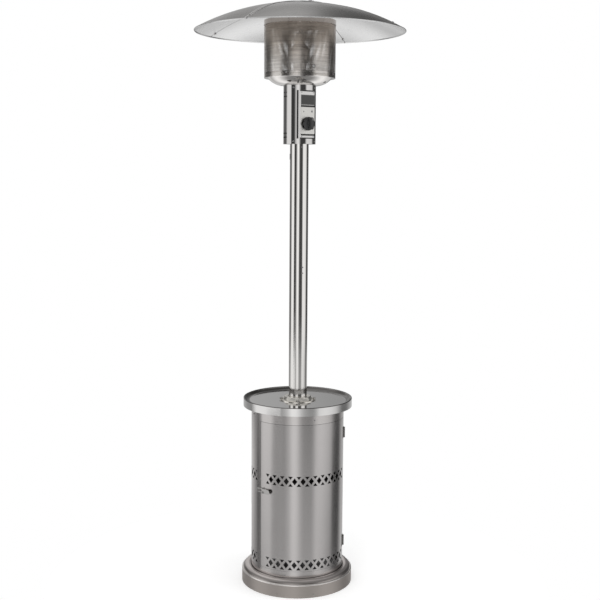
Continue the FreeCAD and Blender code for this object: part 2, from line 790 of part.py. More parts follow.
def latch_lever():
    """Channel-shaped lever with a rounded free end, pivoting between the ears."""
    body = new_body("latch_lever")
    knee = latch_pivot_x + 13
    tip = latch_pivot_x + dim.lever_length
    cheek = [(latch_pivot_x, out(latch_pivot_out - 3.2)), (knee, out(3.2)), (tip - 8, out(7)),
             (tip - 8, out(9.7)), (latch_pivot_x, out(latch_pivot_out + 3.2), 3.2, -1)]
    for bottom in (lever_inside, -lever_outside):
        side = new_sketch(body, "XY_Plane", lift=bottom)
        outline(side, cheek)
        pad(body, side, dim.sheet)
    top = new_sketch(body, "XZ_Plane", lift=housing_radius + 8.5)
    outline(top, [(knee, -lever_outside), (tip - lever_outside, -lever_outside, lever_outside, 1),
                  (tip - lever_outside, lever_outside), (knee, lever_outside)])
    pad(body, top, dim.sheet)
    pivots = ((latch_pivot_x, latch_pivot_out, 1.5), (bail_pivot_x, bail_pivot_out, dim.latch_wire))
    for x, outward_by, radius in pivots:
        hole = new_sketch(body, "XY_Plane")
        circle(hole, x, out(outward_by), radius + dim.running_gap)
        pocket(body, hole, 40, both_ways=True)
    stand(body, dim.latch_turn, z=dim.latch_height)
    return body


def latch_bail():
    """Wire bail: two turned-out ends in the lever's cheeks, two arms and a cross bar."""
    wire = dim.latch_wire.value
    bend = 2.5
    near, far, half = bail_pivot_x.value, bail_reach.value, bail_half_height.value
    end = lever_outside.value - 0.1
    corners = [(near, end), (near, half), (far, half), (far, -half), (near, -half), (near, -end)]
    y = out(bail_pivot_out).value
    points = [vector(x, y, z) for x, z in corners]
    radii = [1.4, bend, bend, 1.4]
    edges = []
    start = points[0]
    for index, radius in enumerate(radii, start=1):
        into = (points[index] - points[index - 1]).normalize()
        away = (points[index + 1] - points[index]).normalize()
        before = points[index] - into * radius
        after = points[index] + away * radius
        centre = before + away * radius
        crown = centre + (points[index] - centre).normalize() * radius
        edges += [Part.LineSegment(start, before).toShape(), Part.Arc(before, crown, after).toShape()]
        start = after
    edges.append(Part.LineSegment(start, points[-1]).toShape())
    path = Part.Wire(edges)
    section = Part.Wire(Part.makeCircle(wire, points[0], vector(0, 0, 1)))
    solid = path.makePipeShell([section], True, False)
    bail = name_piece(doc.addObject("Part::Feature", "latch_bail_wire"), "latch_bail")
    bail.Shape = solid
    stand(bail, dim.latch_turn, z=dim.latch_height)
    return bail


def latch_keeper():
    """Plate on the housing with a raised nose that the bail drops over."""
    body = new_body("latch_keeper")
    plate = new_sketch(body, "XY_Plane", lift=-(ear_outside - 1))
    outline(plate, [(-50, out(-10)), (-33, out(-6)), (-34, out(-1.2)), (-36.2, out(-1.2)), (-49, out(-4.4))])
    pad(body, plate, 2 * (ear_outside - 1))
    nose = new_sketch(body, "XY_Plane", lift=-(bail_half_height - dim.latch_wire - 0.6))
    corners = [(-39.2, -6), (-36.4, -6), (-36.4, 2.6), (-38.4, 2.6), (-39.2, 1.6)]
    outline(nose, [(x, out(distance)) for x, distance in corners])
    pad(body, nose, 2 * (bail_half_height - dim.latch_wire - 0.6))
    seat_on_skin(body, 0.1)
    stand(body, dim.latch_turn, z=dim.latch_height)
    return body


# Table and post

def table_top():
    """Pressed round table: flat tray, curved lip, rolled rim and side band."""
    gauge = dim.sheet
    edge = dim.table_radius
    high, band = dim.table_height, dim.table_height - dim.table_band
    body = turned_piece("table_top", [
        (dim.duct_radius, tray_bottom), (dim.tray_radius, tray_bottom, 27.4, 1), (edge - 5, high - 2.6),
        (edge - 3.2, high - gauge), (edge - 2, high - gauge), (edge - gauge, high - 2.4),
        (edge - gauge, band + gauge), (edge - 3, band + gauge), (edge - 3, band), (edge, band),
        (edge, high - 2, 2, 1), (edge - 2, high), (edge - 3.6, high), (edge - 5.6, high - 1.6, 26.2, -1),
        (dim.tray_radius, tray_top), (dim.duct_radius, tray_top)])
    bolt_holes(body, tray_bottom - 1)
    return body


def post_flange():
    """Foot of the post: bolted flange with a raised collar round the tube."""
    clear = dim.post_radius + dim.seat_gap
    collar = dim.collar_radius
    body = turned_piece("post_flange", [
        (dim.duct_radius, tray_top), (dim.flange_radius, tray_top), (dim.flange_radius, flange_top),
        (collar + 4.5, flange_top), (collar, flange_top + 9, 4, 1), (collar - 3, flange_top + 13),
        (clear + 3.5, flange_top + 13, 5, 1), (clear, flange_top + 9), (clear, flange_top),
        (dim.duct_radius, flange_top)])
    bolt_holes(body, tray_top - 1)
    return body


def flange_bolts():
    """Four hexagon bolts through flange, table and support plate, with their nuts."""
    solids = []
    radius = dim.flange_bolt.value
    across = 13
    top, under = flange_top.value, support_bottom.value
    for quarter in range(4):
        spot = vector(0, -dim.flange_bolt_circle.value, top)
        head = hexagon(across, spot, vector(0, 0, 1), 5.3)
        bolt = head.fuse(bar_along(radius, spot, vector(0, 0, -1), top - under))
        nut = hexagon(across, vector(0, spot.y, under), vector(0, 0, -1), 6.5)
        turn = dim.flange_bolt_turn.value + 90 * quarter
        solids += [front_turned(bolt, turn), front_turned(nut, turn)]
    return group("flange_bolts", solids)


def lower_post():
    return tube("lower_post", dim.post_radius - dim.post_wall, dim.post_radius, flange_top, dim.post_joint)


def post_sleeve():
    return tube("post_sleeve", sleeve_radius - dim.post_wall, sleeve_radius,
                dim.post_joint - dim.sleeve_reach, dim.post_joint + dim.sleeve_reach)


grommet_turn = Size.of(-107)
grommet_height = Size.of(-48)
grommet_half_length = Size.of(7)
grommet_half_width = Size.of(4.5)


def upright_slot(sketch, height, half_length, half_width):
    corners = [(half_width, height - half_length), (half_width, height + half_length, half_width, 1),
               (-half_width, height + half_length), (-half_width, height - half_length, half_width, 1)]
    return outline(sketch, corners)


def upper_post():
    """Upper tube with the slot for the wire grommet near its top."""
    inner = dim.post_radius - dim.post_wall
    body = tube("upper_post", inner, dim.post_radius, dim.post_joint, dim.head_bottom)
    height = dim.head_bottom + grommet_height
    sketch = new_sketch(body, "XZ_Plane", turn=grommet_turn)
    upright_slot(sketch, height, grommet_half_length, grommet_half_width)
    pocket(body, sketch, dim.post_radius + 5, outward=True)
    return body


def post_grommet():
    """Rubber plug in the upper post's slot."""
    body = new_body("post_grommet")
    inner = dim.post_radius - dim.post_wall + 0.1
    plug = new_sketch(body, "XZ_Plane", lift=inner)
    upright_slot(plug, 0, grommet_half_length - 0.15, grommet_half_width - 0.15)
    pad(body, plug, dim.post_wall + 0.9)
    stand(body, grommet_turn, z=dim.head_bottom + grommet_height)
    return body


# Burner head

def head_bottom_cap():
    """Lower band of the head with its floor and the spigot that goes down into the post."""
    gauge = dim.sheet
    outer = dim.head_radius
    bottom, top = dim.head_bottom, shell_bottom
    spigot_inner = sleeve_radius - dim.post_wall
    spigot_end = bottom + grommet_height + grommet_half_length * 3.6
    return turned_piece("head_bottom_cap", [
        (spigot_inner, spigot_end), (sleeve_radius, spigot_end), (sleeve_radius, bottom), (outer, bottom),
        (outer, top), (panel_back - 4, top), (panel_back - 4, top - gauge), (outer - gauge, top - gauge),
        (outer - gauge, bottom + gauge), (spigot_inner, bottom + gauge)])


def head_top_cap():
    """Upper band of the head with its roof, open in the middle for the burner tube."""
    gauge = dim.sheet
    outer = dim.head_radius
    bottom, top = shell_top, dim.head_top
    opening = Size.of(18)
    return turned_piece("head_top_cap", [
        (panel_back - 4, bottom), (outer, bottom), (outer, top), (opening, top), (opening, top - gauge),
        (outer - gauge, top - gauge), (outer - gauge, bottom + gauge), (panel_back - 4, bottom + gauge)])


def head_shell():
    """Wrapped shell of the head, open where the control panel sits, with vent slots at both sides."""
    body = new_body("head_shell")
    outer, inner = dim.head_radius, dim.head_radius - dim.sheet
    wrap = new_sketch(body, "YZ_Plane")
    rectangle(wrap, inner, shell_bottom, outer, shell_top)
    revolve(body, wrap, 360 - 2 * dim.panel_half_angle)
    slot_half = 1.7
    for side in (-1, 1):
        vents = new_sketch(body, "YZ_Plane", turn=side * 98.9)
        for height in (shell_bottom + 6, shell_bottom + 21, shell_top - 22, shell_top - 7):
            rectangle(vents, -(outer + 4), height - slot_half, 4 - inner, height + slot_half)
        groove(body, vents, 30)
    stand(body, dim.panel_turn)
    return body


panel_foot = dim.head_radius * sine(dim.panel_half_angle) - 0.9
plate_half_width = dim.panel_half_width - 4.2


def control_panel():
    """Pressed tray, its face forward of the head's opening and its sides sloping back into it."""
    body = new_body("control_panel")
    front, back = -panel_face, 1.5 - chord
    half, foot, gauge = dim.panel_half_width, panel_foot, dim.panel_plate
    plan = new_sketch(body, "XY_Plane", lift=shell_bottom)
    outline(plan, [(-foot, back), (-half, front), (half, front), (foot, back)])
    pad(body, plan, shell_top - shell_bottom)
    hollow = new_sketch(body, "XY_Plane", lift=shell_bottom + gauge)
    outline(hollow, [(-(foot - gauge), back + 1), (-(foot - gauge), back), (-(half - gauge), front + gauge),
                     (half - gauge, front + gauge), (foot - gauge, back), (foot - gauge, back + 1)])
    pocket(body, hollow, shell_top - shell_bottom - 2 * gauge, outward=True)
    hole = new_sketch(body, "XZ_Plane", lift=panel_face + 1)
    circle(hole, 0, dim.knob_height, collar_outer + dim.seat_gap)
    pocket(body, hole, gauge + 3)
    stand(body, dim.panel_turn)
    return body


plate_gauge = Size.of(0.8)


def label_plate():
    """Blank dark plate on the upper part of the panel."""
    body = new_body("label_plate")
    face = new_sketch(body, "XZ_Plane", lift=panel_face)
    rectangle(face, -plate_half_width, shell_top - 55, plate_half_width, shell_top - 17)
    pad(body, face, plate_gauge)
    stand(body, dim.panel_turn)
    return body


def dial_plate():
    """Satin plate behind the knob."""
    body = new_body("dial_plate")
    face = new_sketch(body, "XZ_Plane", lift=panel_face)
    rectangle(face, -plate_half_width, shell_bottom + 18, plate_half_width, shell_top - 62)
    circle(face, 0, dim.knob_height, 9)
    pad(body, face, plate_gauge)
    stand(body, dim.panel_turn)
    return body


# Valve and knob: the stem points to -Y, zero height on its axis

collar_outer = dim.stem_radius + 2
valve_front = panel_back
valve_depth = Size.of(34)
knob_back = panel_face + plate_gauge + dim.knob_travel + 0.5


def valve_body():
    """Gas valve behind the panel, with bored front, inlet boss and outlet boss."""
    body = new_body("valve_body")
    block = new_sketch(body, "XZ_Plane", lift=valve_front - valve_depth)
    outline(block, [(-12, -26), (12, -26), (17, -20), (17, 20), (12, 26), (-12, 26), (-17, 20), (-17, -20)])
    pad(body, block, valve_depth)
    for bottom, length in ((-36, 12), (24, 10)):
        boss = new_sketch(body, "XY_Plane", lift=bottom)
        circle(boss, 0, gas_line_y, 8)
        pad(body, boss, length)
    front = new_sketch(body, "XZ_Plane", lift=valve_front)
    circle(front, 0, 0, collar_outer + dim.seat_gap)
    pocket(body, front, dim.knob_travel + 4)
    deep = new_sketch(body, "XZ_Plane", lift=valve_front)
    circle(deep, 0, 0, dim.stem_radius + 0.08)
    pocket(body, deep, dim.knob_travel + 14)
    stand(body, dim.panel_turn, z=dim.knob_height)
    return body


gas_line_y = -(valve_front - valve_depth / 2 - 2)


def valve_inlet():
    """Brass flare fitting under the valve, for the gas supply."""
    body = new_body("valve_inlet")
    bottom = Size.of(-36)
    for lift, radius, length in ((bottom - 7, 9.5, 7), (bottom - 25, 7.9, 18), (bottom - 31, 6.2, 6)):
        step = new_sketch(body, "XY_Plane", lift=lift)
        circle(step, 0, gas_line_y, radius)
        pad(body, step, length)
    bore = new_sketch(body, "XY_Plane", lift=bottom - 32)
    circle(bore, 0, gas_line_y, 3.5)
    pocket(body, bore, 28, outward=True)
    stand(body, dim.panel_turn, z=dim.knob_height)
    return body


def valve_stem():
    """Round stem from the valve into the knob."""
    return front_bar("valve_stem", dim.stem_radius, valve_front - 13, knob_back + 14.5)


def front_bar(label, radius, start, finish):
    """A bar along -Y at the stem's height, from one distance to another."""
    body = new_body(label)
    sketch = new_sketch(body, "XZ_Plane", lift=start)
    circle(sketch, 0, 0, radius)
    pad(body, sketch, finish - start)
    stand(body, dim.panel_turn, z=dim.knob_height)
    return body


def stem_collar():
    """Sliding collar round the stem, which the return spring pushes out."""
    body = new_body("stem_collar")
    sketch = new_sketch(body, "XZ_Plane", lift=valve_front - 3)
    circle(sketch, 0, 0, collar_outer)
    circle(sketch, 0, 0, dim.stem_radius + dim.running_gap)
    pad(body, sketch, knob_back - valve_front + 3 - dim.seat_gap)
    stand(body, dim.panel_turn, z=dim.knob_height)
    return body


def control_knob():
    """Round skirt, raised boss and a rounded grip bar across it."""
    body = new_body("control_knob")
    radius = dim.knob_radius
    skirt = new_sketch(body, "XY_Plane")
    inside = dim.stem_radius + dim.running_gap
    steps = [(inside, 0), (radius - 1, 0), (radius, 1), (radius - 0.5, 5), (radius - 4.5, 9),
             (radius / 2, 10.5), (radius / 2, 17), (0, 17), (0, 15), (inside, 15)]
    revolve(body, outline(skirt, [(x, -(knob_back + y)) for x, y in steps]))
    scallops = new_sketch(body, "XZ_Plane", lift=knob_back - 1)
    for number in range(8):
        angle = Size.of(22.5 + 45 * number)
        reach = radius + 4.5
        circle(scallops, reach * cosine(angle), reach * sine(angle), Size.of(7))
    pocket(body, scallops, 12, outward=True)
    grip = new_sketch(body, "XZ_Plane", lift=knob_back + 6)
    upright_slot(grip, 0, radius - 9.5, Size.of(6.5))
    pad(body, grip, 21)
    hole = new_sketch(body, "XZ_Plane", lift=knob_back)
    circle(hole, 0, 0, inside)
    drilled = pocket(body, hole, 15, outward=True)
    tip = -(knob_back + 27).value
    rim = ["Edge%d" % (number + 1) for number, edge in enumerate(body.Shape.Edges)
           if all(abs(point.Point.y - tip) < 0.01 for point in edge.Vertexes)]
    fillet = body.newObject("PartDesign::Fillet", "grip_fillet")
    fillet.Base = (drilled, rim)
    fillet.Radius = 2
    doc.recompute()
    stand(body, dim.panel_turn, z=dim.knob_height)
    return body


def tilt_switch():
    """Safety switch that shuts the gas when the heater leans, on the panel's back."""
    body = new_body("tilt_switch")
    base = new_sketch(body, "XZ_Plane", lift=panel_back - 18)
    rectangle(base, -33, shell_top - 75, -12, shell_top - 49)
    pad(body, base, 18)
    stand(body, dim.panel_turn)
    return body


def gas_tube():
    """Bent tube from the valve up to the burner's orifice on the axis."""
    body = new_body("gas_tube")
    start_height = Size.of(34)
    top_height = dim.head_top - dim.knob_height - 10
    bend = Size.of(14)
    y = gas_line_y
    path = new_sketch(body, "YZ_Plane")
    half = -y / 2
    rise = root(bend * bend - (bend - half) * (bend - half))
    low = start_height + 12
    spots = [(y, start_height), (y, low), (y + half, low + rise), (0, low + 2 * rise), (0, top_height)]
    draw_s_bend(path, spots, bend)
    ring = new_sketch(body, "XY_Plane", lift=start_height)
    circle(ring, 0, y, 4)
    circle(ring, 0, y, 2.8)
    sweep = body.newObject("PartDesign::AdditivePipe", "gas_tube_sweep")
    sweep.Profile = ring
    sweep.Spine = path
    doc.recompute()
    stand(body, dim.panel_turn, z=dim.knob_height)
    return body


def draw_s_bend(sketch, spots, bend):
    """Open path: up, two opposite bends, and up again."""
    points = [(Size.of(x), Size.of(y)) for x, y in spots]
    flat = [vector(x.value, y.value, 0) for x, y in points]
    reach = bend.value
    first_centre = flat[1] + vector(reach, 0, 0)
    second_centre = flat[3] - vector(reach, 0, 0)
    lower_crown = first_centre + (((flat[1] + flat[2]) * 0.5) - first_centre).normalize() * reach
    upper_crown = second_centre + (((flat[2] + flat[3]) * 0.5) - second_centre).normalize() * reach
    shapes = [Part.LineSegment(flat[0], flat[1]), Part.Arc(flat[2], lower_crown, flat[1]),
              Part.Arc(flat[2], upper_crown, flat[3]), Part.LineSegment(flat[3], flat[4])]
    for shape in shapes:
        sketch.addGeometry(shape, False)
    joints = [((0, 2), (1, 2)), ((1, 1), (2, 1)), ((2, 2), (3, 1))]
    for (edge, end), (other, other_end) in joints:
        sketch.addConstraint(Sketcher.Constraint("Coincident", edge, end, other, other_end))
    for spot, (edge, end) in zip(points, ((0, 1), (0, 2), (2, 1), (3, 1), (3, 2))):
        pin_point(sketch, edge, end, *spot)
    for edge in (1, 2):
        mark = sketch.addConstraint(Sketcher.Constraint("Radius", edge, bend.value))
        sketch.setExpression("Constraints[%d]" % mark, bend.text)


# Burner

def burner_tube():
    """Mixing tube with the flange that seats it on the bowl's floor."""
    inner, outer = Size.of(12.8), Size.of(14)
    return turned_piece("burner_tube", [
        (inner, dim.head_top - 9), (outer, dim.head_top - 9), (outer, bowl_floor), (30, bowl_floor),
        (30, bowl_floor + 1.5), (outer, bowl_floor + 1.5), (outer, bowl_floor + 32),
        (inner, bowl_floor + 32)])


def burner_head():
    """Hollow burner: neck, wide drum, narrower crown and a small pin on top."""
    bottom = bowl_floor + 32
    neck, wide, crown, wall = dim.burner_neck, dim.burner_radius, dim.burner_crown, 1.5
    return turned_piece("burner_head", [
        (12.8, bottom), (neck, bottom), (neck, bottom + 50), (wide, bottom + 62), (wide, bottom + 105),
        (crown, bottom + 130), (crown, bottom + 163), (6, bottom + 168), (5, bottom + 183),
        (0, bottom + 185), (0, bottom + 166), (crown - wall, bottom + 162),
        (crown - wall, bottom + 129), (wide - wall, bottom + 104), (wide - wall, bottom + 63),
        (neck - wall, bottom + 51), (neck - wall, bottom + wall), (12.8, bottom + wall)])


bracket_face = -58.5


def pilot_bracket():
    """Angle on the bowl's floor that holds the pilot, the thermocouple and the electrode."""
    body = new_body("pilot_bracket")
    sketch = new_sketch(body, "YZ_Plane")
    floor = bowl_floor
    back = bracket_face - 1.5
    outline(sketch, [(back, floor), (-42, floor), (-42, floor + 1.5), (bracket_face, floor + 1.5),
                     (bracket_face, floor + 40), (back, floor + 40)])
    pad(body, sketch, 36, both_ways=True)
    stand(body, dim.eyelet_turn)
    return body


def pilot_rods():
    """Pilot burner with its hood, thermocouple tip and ceramic electrode, clipped to the bracket."""
    floor = bowl_floor.value
    rods = []
    for x, radius, low, high, tip_radius, tip in ((0, 3.5, 10, 52, 5, 9), (11, 2.6, 12, 46, 1.6, 18),
                                                  (-11, 3, 12, 48, 1, 14)):
        spot = vector(x, bracket_face + radius + 0.1, floor)
        rod = bar_along(radius, spot + vector(0, 0, low), vector(0, 0, 1), high - low)
        rod = rod.fuse(bar_along(tip_radius, spot + vector(0, 0, high), vector(0, 0, 1), tip))
        rods.append(front_turned(rod, dim.eyelet_turn.value))
    return group("pilot_rods", rods)


def burner_bowl():
    """Spun bowl under the screen, with a flat floor, a rim flange and four oval vents."""
    gauge = dim.sheet
    floor, rim = dim.head_top, dim.bowl_rim
    wall = dim.bowl_wall_radius
    flat, lip = dim.bowl_foot_radius, Size.of(122)
    body = turned_piece("burner_bowl", [
        (18, floor), (flat, floor, wall, 1), (lip, rim - 2.5), (lip + 2, rim - gauge),
        (dim.screen_radius, rim - gauge), (dim.screen_radius, rim), (lip + 0.8, rim),
        (lip - 1, rim - 1.7, wall - gauge, -1), (flat - 0.5, floor + gauge), (18, floor + gauge)])
    vent = new_sketch(body, "XY_Plane", lift=floor - 5)
    slot(vent, Size.of(0), -dim.vent_circle, Size.of(4.5), Size.of(4.5))
    cut = pocket(body, vent, 40, outward=True)
    polar(body, cut, 360, 4)
    stand(body, dim.fastener_turn)
    return body


def burner_screen():
    """Round screen wall with the lighting hole."""
    inner = dim.screen_radius - dim.screen_wall
    body = tube("burner_screen", inner, dim.screen_radius, dim.bowl_rim, dim.screen_top)
    hole = new_sketch(body, "XZ_Plane")
    circle(hole, 0, dim.eyelet_height, dim.eyelet_radius)
    pocket(body, hole, dim.screen_radius + 10, outward=True)
    stand(body, dim.eyelet_turn)
    return body


def screen_eyelet():
    """Rolled eyelet round the lighting hole."""
    body = new_body("screen_eyelet")
    sketch = new_sketch(body, "XZ_Plane", lift=dim.screen_radius + 0.05)
    circle(sketch, 0, 0, dim.eyelet_radius + 2.6)
    circle(sketch, 0, 0, dim.eyelet_radius - 0.8)
    pad(body, sketch, 1.4)
    stand(body, dim.eyelet_turn, z=dim.eyelet_height)
    return body


def screen_ring():
    """Band round the top of the screen with a turned-in lip."""
    inner = dim.screen_radius + dim.seat_gap
    outer = inner + dim.sheet
    lip = plate_top + dim.seat_gap
    return turned_piece("screen_ring", [
        (inner, lip + dim.sheet - dim.ring_height), (outer, lip + dim.sheet - dim.ring_height),
        (outer, lip + dim.sheet), (inner - 6.5, lip + dim.sheet), (inner - 6.5, lip), (inner, lip)])


def emitter_plate():
    """Round plate that closes the screen and carries the studs of the hood."""
    return tube("emitter_plate", Size.of(8), dim.screen_radius, dim.screen_top, plate_top)


# Hood

def hood_studs():
    """Three studs from the screen's plate to the cap, each with a nut under and over the cap."""
    radius = dim.stud_radius.value
    foot = plate_top.value
    under = cap_under.value
    over = under + dim.sheet.value
    solids = []
    for third in range(3):
        spot = vector(0, -dim.stud_circle.value, foot)
        stud = bar_along(radius, spot, vector(0, 0, 1), over + 7.8 - foot)
        stud = stud.fuse(hexagon(10, spot, vector(0, 0, 1), 5))
        lower = hexagon(10, vector(0, spot.y, under - 5), vector(0, 0, 1), 5)
        upper = hexagon(10, vector(0, spot.y, over), vector(0, 0, 1), 5.5)
        whole = stud.fuse([lower, upper])
        solids.append(front_turned(whole, dim.stud_turn.value + 120 * third))
    return group("hood_studs", solids)


cap_under = dome(cap_flat_radius) + dim.seat_gap


def hood_cap():
    """Disc over the petals' inner ends, with a flat middle and a small raised edge."""
    gauge = dim.sheet
    edge = dim.cap_radius
    under = dome(edge) + dim.seat_gap
    body = turned_piece("hood_cap", [
        (0, cap_under), (cap_flat_radius, cap_under), (edge, under), (edge, under + gauge + 1.8),
        (edge - gauge, under + gauge + 1.8), (edge - gauge - 0.8, under + gauge + 0.2),
        (cap_flat_radius, cap_under + gauge), (0, cap_under + gauge)])
    ring_holes(body, dim.stud_circle, dim.stud_radius + dim.seat_gap, 3, dim.stud_turn, cap_under - 2, 12)
    return body


def solid_sphere(radius):
    ball = doc.addObject("Part::Sphere", "ball")
    set_size(ball, "Radius", radius)
    stand(ball, z=dome_centre)
    return ball


def shell_strip(inner_depth, outer_depth, left, right):
    """Part of the dome between two depths and two lines beside the seam that runs to the front."""
    outer, inner = solid_sphere(dome_radius - outer_depth), solid_sphere(dome_radius - inner_depth)
    crust = doc.addObject("Part::Cut", "crust")
    crust.Base, crust.Tool = outer, inner
    box = doc.addObject("Part::Box", "strip_box")
    reach = dim.hood_radius - 2 * dim.rim_bead - 2
    start = dim.cap_radius + 1
    set_size(box, "Length", right - left)
    set_size(box, "Width", reach - start)
    set_size(box, "Height", dim.hood_rise + 40)
    stand(box, 0, left, -reach, dim.rim_height - 20)
    strip = doc.addObject("Part::Common", "strip")
    strip.Base, strip.Tool = crust, box
    doc.recompute()
    return strip


def hood_petal(label, turn):
    """One petal: spherical sheet, rolled rim, and the flange that laps over the next petal."""
    sheet_depth, bead = dim.hood_sheet, dim.rim_bead
    inner_end = cap_flat_radius - 3
    bead_centre = dim.hood_radius - bead
    bead_top = dome(bead_centre)
    lip = dim.hood_radius - 2 * bead
    body = doc.addObject("PartDesign::Body", label + "_sheet")
    span = 360 / dim.petals
    profile = new_sketch(body, "YZ_Plane", turn=-span / 2)
    outline(profile, [
        (-inner_end, dome(inner_end), dome_radius, 1), (-bead_centre, bead_top, bead, 1),
        (-dim.hood_radius, bead_top - bead, bead, 1), (-bead_centre, bead_top - 2 * bead),
        (-lip, dome(lip, sheet_depth), dome_radius - sheet_depth, -1),
        (-inner_end, dome(inner_end, sheet_depth))])
    revolve(body, profile, span - 0.1)
    half = dim.seam_width / 2
    lap = shell_strip(-dim.seat_gap, -(dim.seat_gap + sheet_depth), -half, half)
    root_strip = shell_strip(sheet_depth / 2, -(dim.seat_gap + 0.1), -half, Size.of(-1.5))
    petal = name_piece(doc.addObject("Part::MultiFuse", label + "_fuse"), label)
    petal.Shapes = [body, lap, root_strip]
    petal.Refine = True
    stand(petal, turn)
    doc.recompute()
    return petal


def hood_screws():
    """Pan heads on the lapped seams with nuts below, and heads that hold the petals to the cap."""
    centre = vector(0, 0, dome_centre.value)
    solids = []
    shell = dome_radius.value
    seam_radius = dim.hood_radius.value - dim.seam_screw_inset.value
    tilt = math.asin(seam_radius / shell)
    outward = vector(0, -math.sin(tilt), math.cos(tilt))
    top = centre + outward * (shell + dim.seat_gap.value + dim.hood_sheet.value)
    below = centre + outward * (shell - dim.hood_sheet.value - 0.03)
    cap_spot = vector(0, -(cap_flat_radius.value - 5), cap_under.value + dim.sheet.value)
    for quarter in range(int(dim.petals.value)):
        turn = 45 + 90 * quarter
        solids.append(front_turned(bar_along(3.6, top, outward, 2.2), turn))
        solids.append(front_turned(hexagon(8, below, outward * -1, 4), turn))
        for shift in (20, 70):
            solids.append(front_turned(bar_along(3.5, cap_spot, vector(0, 0, 1), 2), turn + shift))
    return group("hood_screws", solids)


def pan_head(radius, distance, height, turn, height_of_head=1.6):
    """Low round screw head on a wall that faces the front, turned to its place."""
    start = vector(0, -(distance + 0.05), height)
    return front_turned(bar_along(radius, start, vector(0, -1, 0), height_of_head), turn)


def pan_screws():
    """All small pan-head screws of the base, the housing, the post, the head and the screen."""
    shell = housing_radius.value
    post = dim.post_radius.value
    head = dim.head_radius.value
    first = dim.fastener_turn.value
    solids = []
    for quarter in range(4):
        step = 90 * quarter
        solids.append(pan_head(2.8, shell, dim.collar_bottom.value + 17, 3.6 + step))
        solids.append(pan_head(2.8, shell, dim.base_height.value + 10, -32 + step))
        solids.append(pan_head(2.6, head, shell_top.value + 10, first + step))
        solids.append(pan_head(2.6, head, shell_bottom.value - 10, first + step))
        solids.append(pan_head(3.2, dim.screen_radius.value, dim.bowl_rim.value + 13, first + step))
        for turn in (-38.3, 0.7):
            solids.append(pan_head(2.4, dim.skirt_radius.value, 12, turn + step))
    joint = dim.post_joint.value
    for turn in (7.6, 187.6):
        for height in (joint + 18, joint + 41):
            solids.append(pan_head(3.2, post, height, turn))
        solids.append(pan_head(3.2, post, dim.head_bottom.value - 12, turn - 7.6))
    across = plate_half_width.value - 4
    face = panel_face.value
    for x in (-across, across):
        for height in (shell_top.value - 8, shell_bottom.value + 8):
            start = vector(x, -face, height)
            screw = bar_along(2.2, start, vector(0, -1, 0), 1.2)
            solids.append(front_turned(screw, dim.panel_turn.value))
    return group("pan_screws", solids)


# Build every piece

base_pan()
base_cover()
wheel_bracket()
wheel_axle()
wheel("wheel_left", -1)
wheel("wheel_right", 1)
axle_caps()
frame_bolts()
housing_shell()
housing_collar()
for leg_name, leg_turn in zip(("left", "right", "rear"), leg_turns()):
    support_leg("support_leg_" + leg_name, leg_turn)
support_plate()
door_panel()
hinge_leaves("door_hinge_leaves", -1, 1, 2)
hinge_leaves("frame_hinge_leaves", 1, 0, 3)
hinge_pins()
latch_base()
latch_lever()
latch_bail()
latch_keeper()
table_top()
post_flange()
flange_bolts()
lower_post()
post_sleeve()
upper_post()
post_grommet()
head_bottom_cap()
head_shell()
head_top_cap()
control_panel()
label_plate()
dial_plate()
valve_body()
valve_inlet()
valve_stem()
stem_collar()
control_knob()
tilt_switch()
gas_tube()
burner_tube()
burner_head()
pilot_bracket()
pilot_rods()
burner_bowl()
burner_screen()
screen_eyelet()
screen_ring()
emitter_plate()
hood_studs()
hood_cap()
for number in range(int(dim.petals.value)):
    hood_petal("hood_petal_%d" % (number + 1), 45 + 360 / dim.petals * number)
hood_screws()
pan_screws()

doc.recompute()
failed = [thing.Name for thing in doc.Objects if "Invalid" in thing.State or "Error" in thing.State]
failed += [piece.Label for piece in pieces if piece.Shape.isNull() or not piece.Shape.isValid()]
if failed:
    raise RuntimeError("failed: " + ", ".join(failed))

os.makedirs("parts", exist_ok=True)
for piece in pieces:
    piece.Shape.exportStep("parts/%s.step" % piece.Label)
    print("%-20s %2d solids %12.1f mm3" % (piece.Label, len(piece.Shape.Solids), piece.Shape.Volume))
print(len(pieces), "pieces")
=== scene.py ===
import math

import bmesh
import bpy
from mathutils import Matrix, Vector


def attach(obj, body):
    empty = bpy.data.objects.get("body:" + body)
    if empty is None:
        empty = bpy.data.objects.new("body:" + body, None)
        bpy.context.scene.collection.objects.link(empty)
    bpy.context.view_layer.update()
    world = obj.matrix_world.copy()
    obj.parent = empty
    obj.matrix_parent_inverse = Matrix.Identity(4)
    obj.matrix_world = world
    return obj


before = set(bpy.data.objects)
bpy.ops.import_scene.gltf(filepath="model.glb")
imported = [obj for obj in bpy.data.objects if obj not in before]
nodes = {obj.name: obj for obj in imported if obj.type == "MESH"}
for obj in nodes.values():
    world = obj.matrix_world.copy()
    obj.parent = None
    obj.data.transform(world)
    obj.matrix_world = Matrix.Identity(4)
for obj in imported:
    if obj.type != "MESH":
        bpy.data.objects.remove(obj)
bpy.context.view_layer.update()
scene = bpy.context.scene
scene.view_settings.view_transform = "Standard"
print("frame loaded:", len(nodes), "nodes")


# camera, from the photograph
shot = {
    "turn": -17.4,           # degrees round the post, towards the latch
    "distance": 4.23,        # metres from the post
    "height": 1.649,
    "tilt": 6.88,            # degrees downwards
    "roll": 0.37,
    "lens": 64.68,
    "sensor": 36,
    "shift": 0.00278,
    "clipEnd": 60,
}


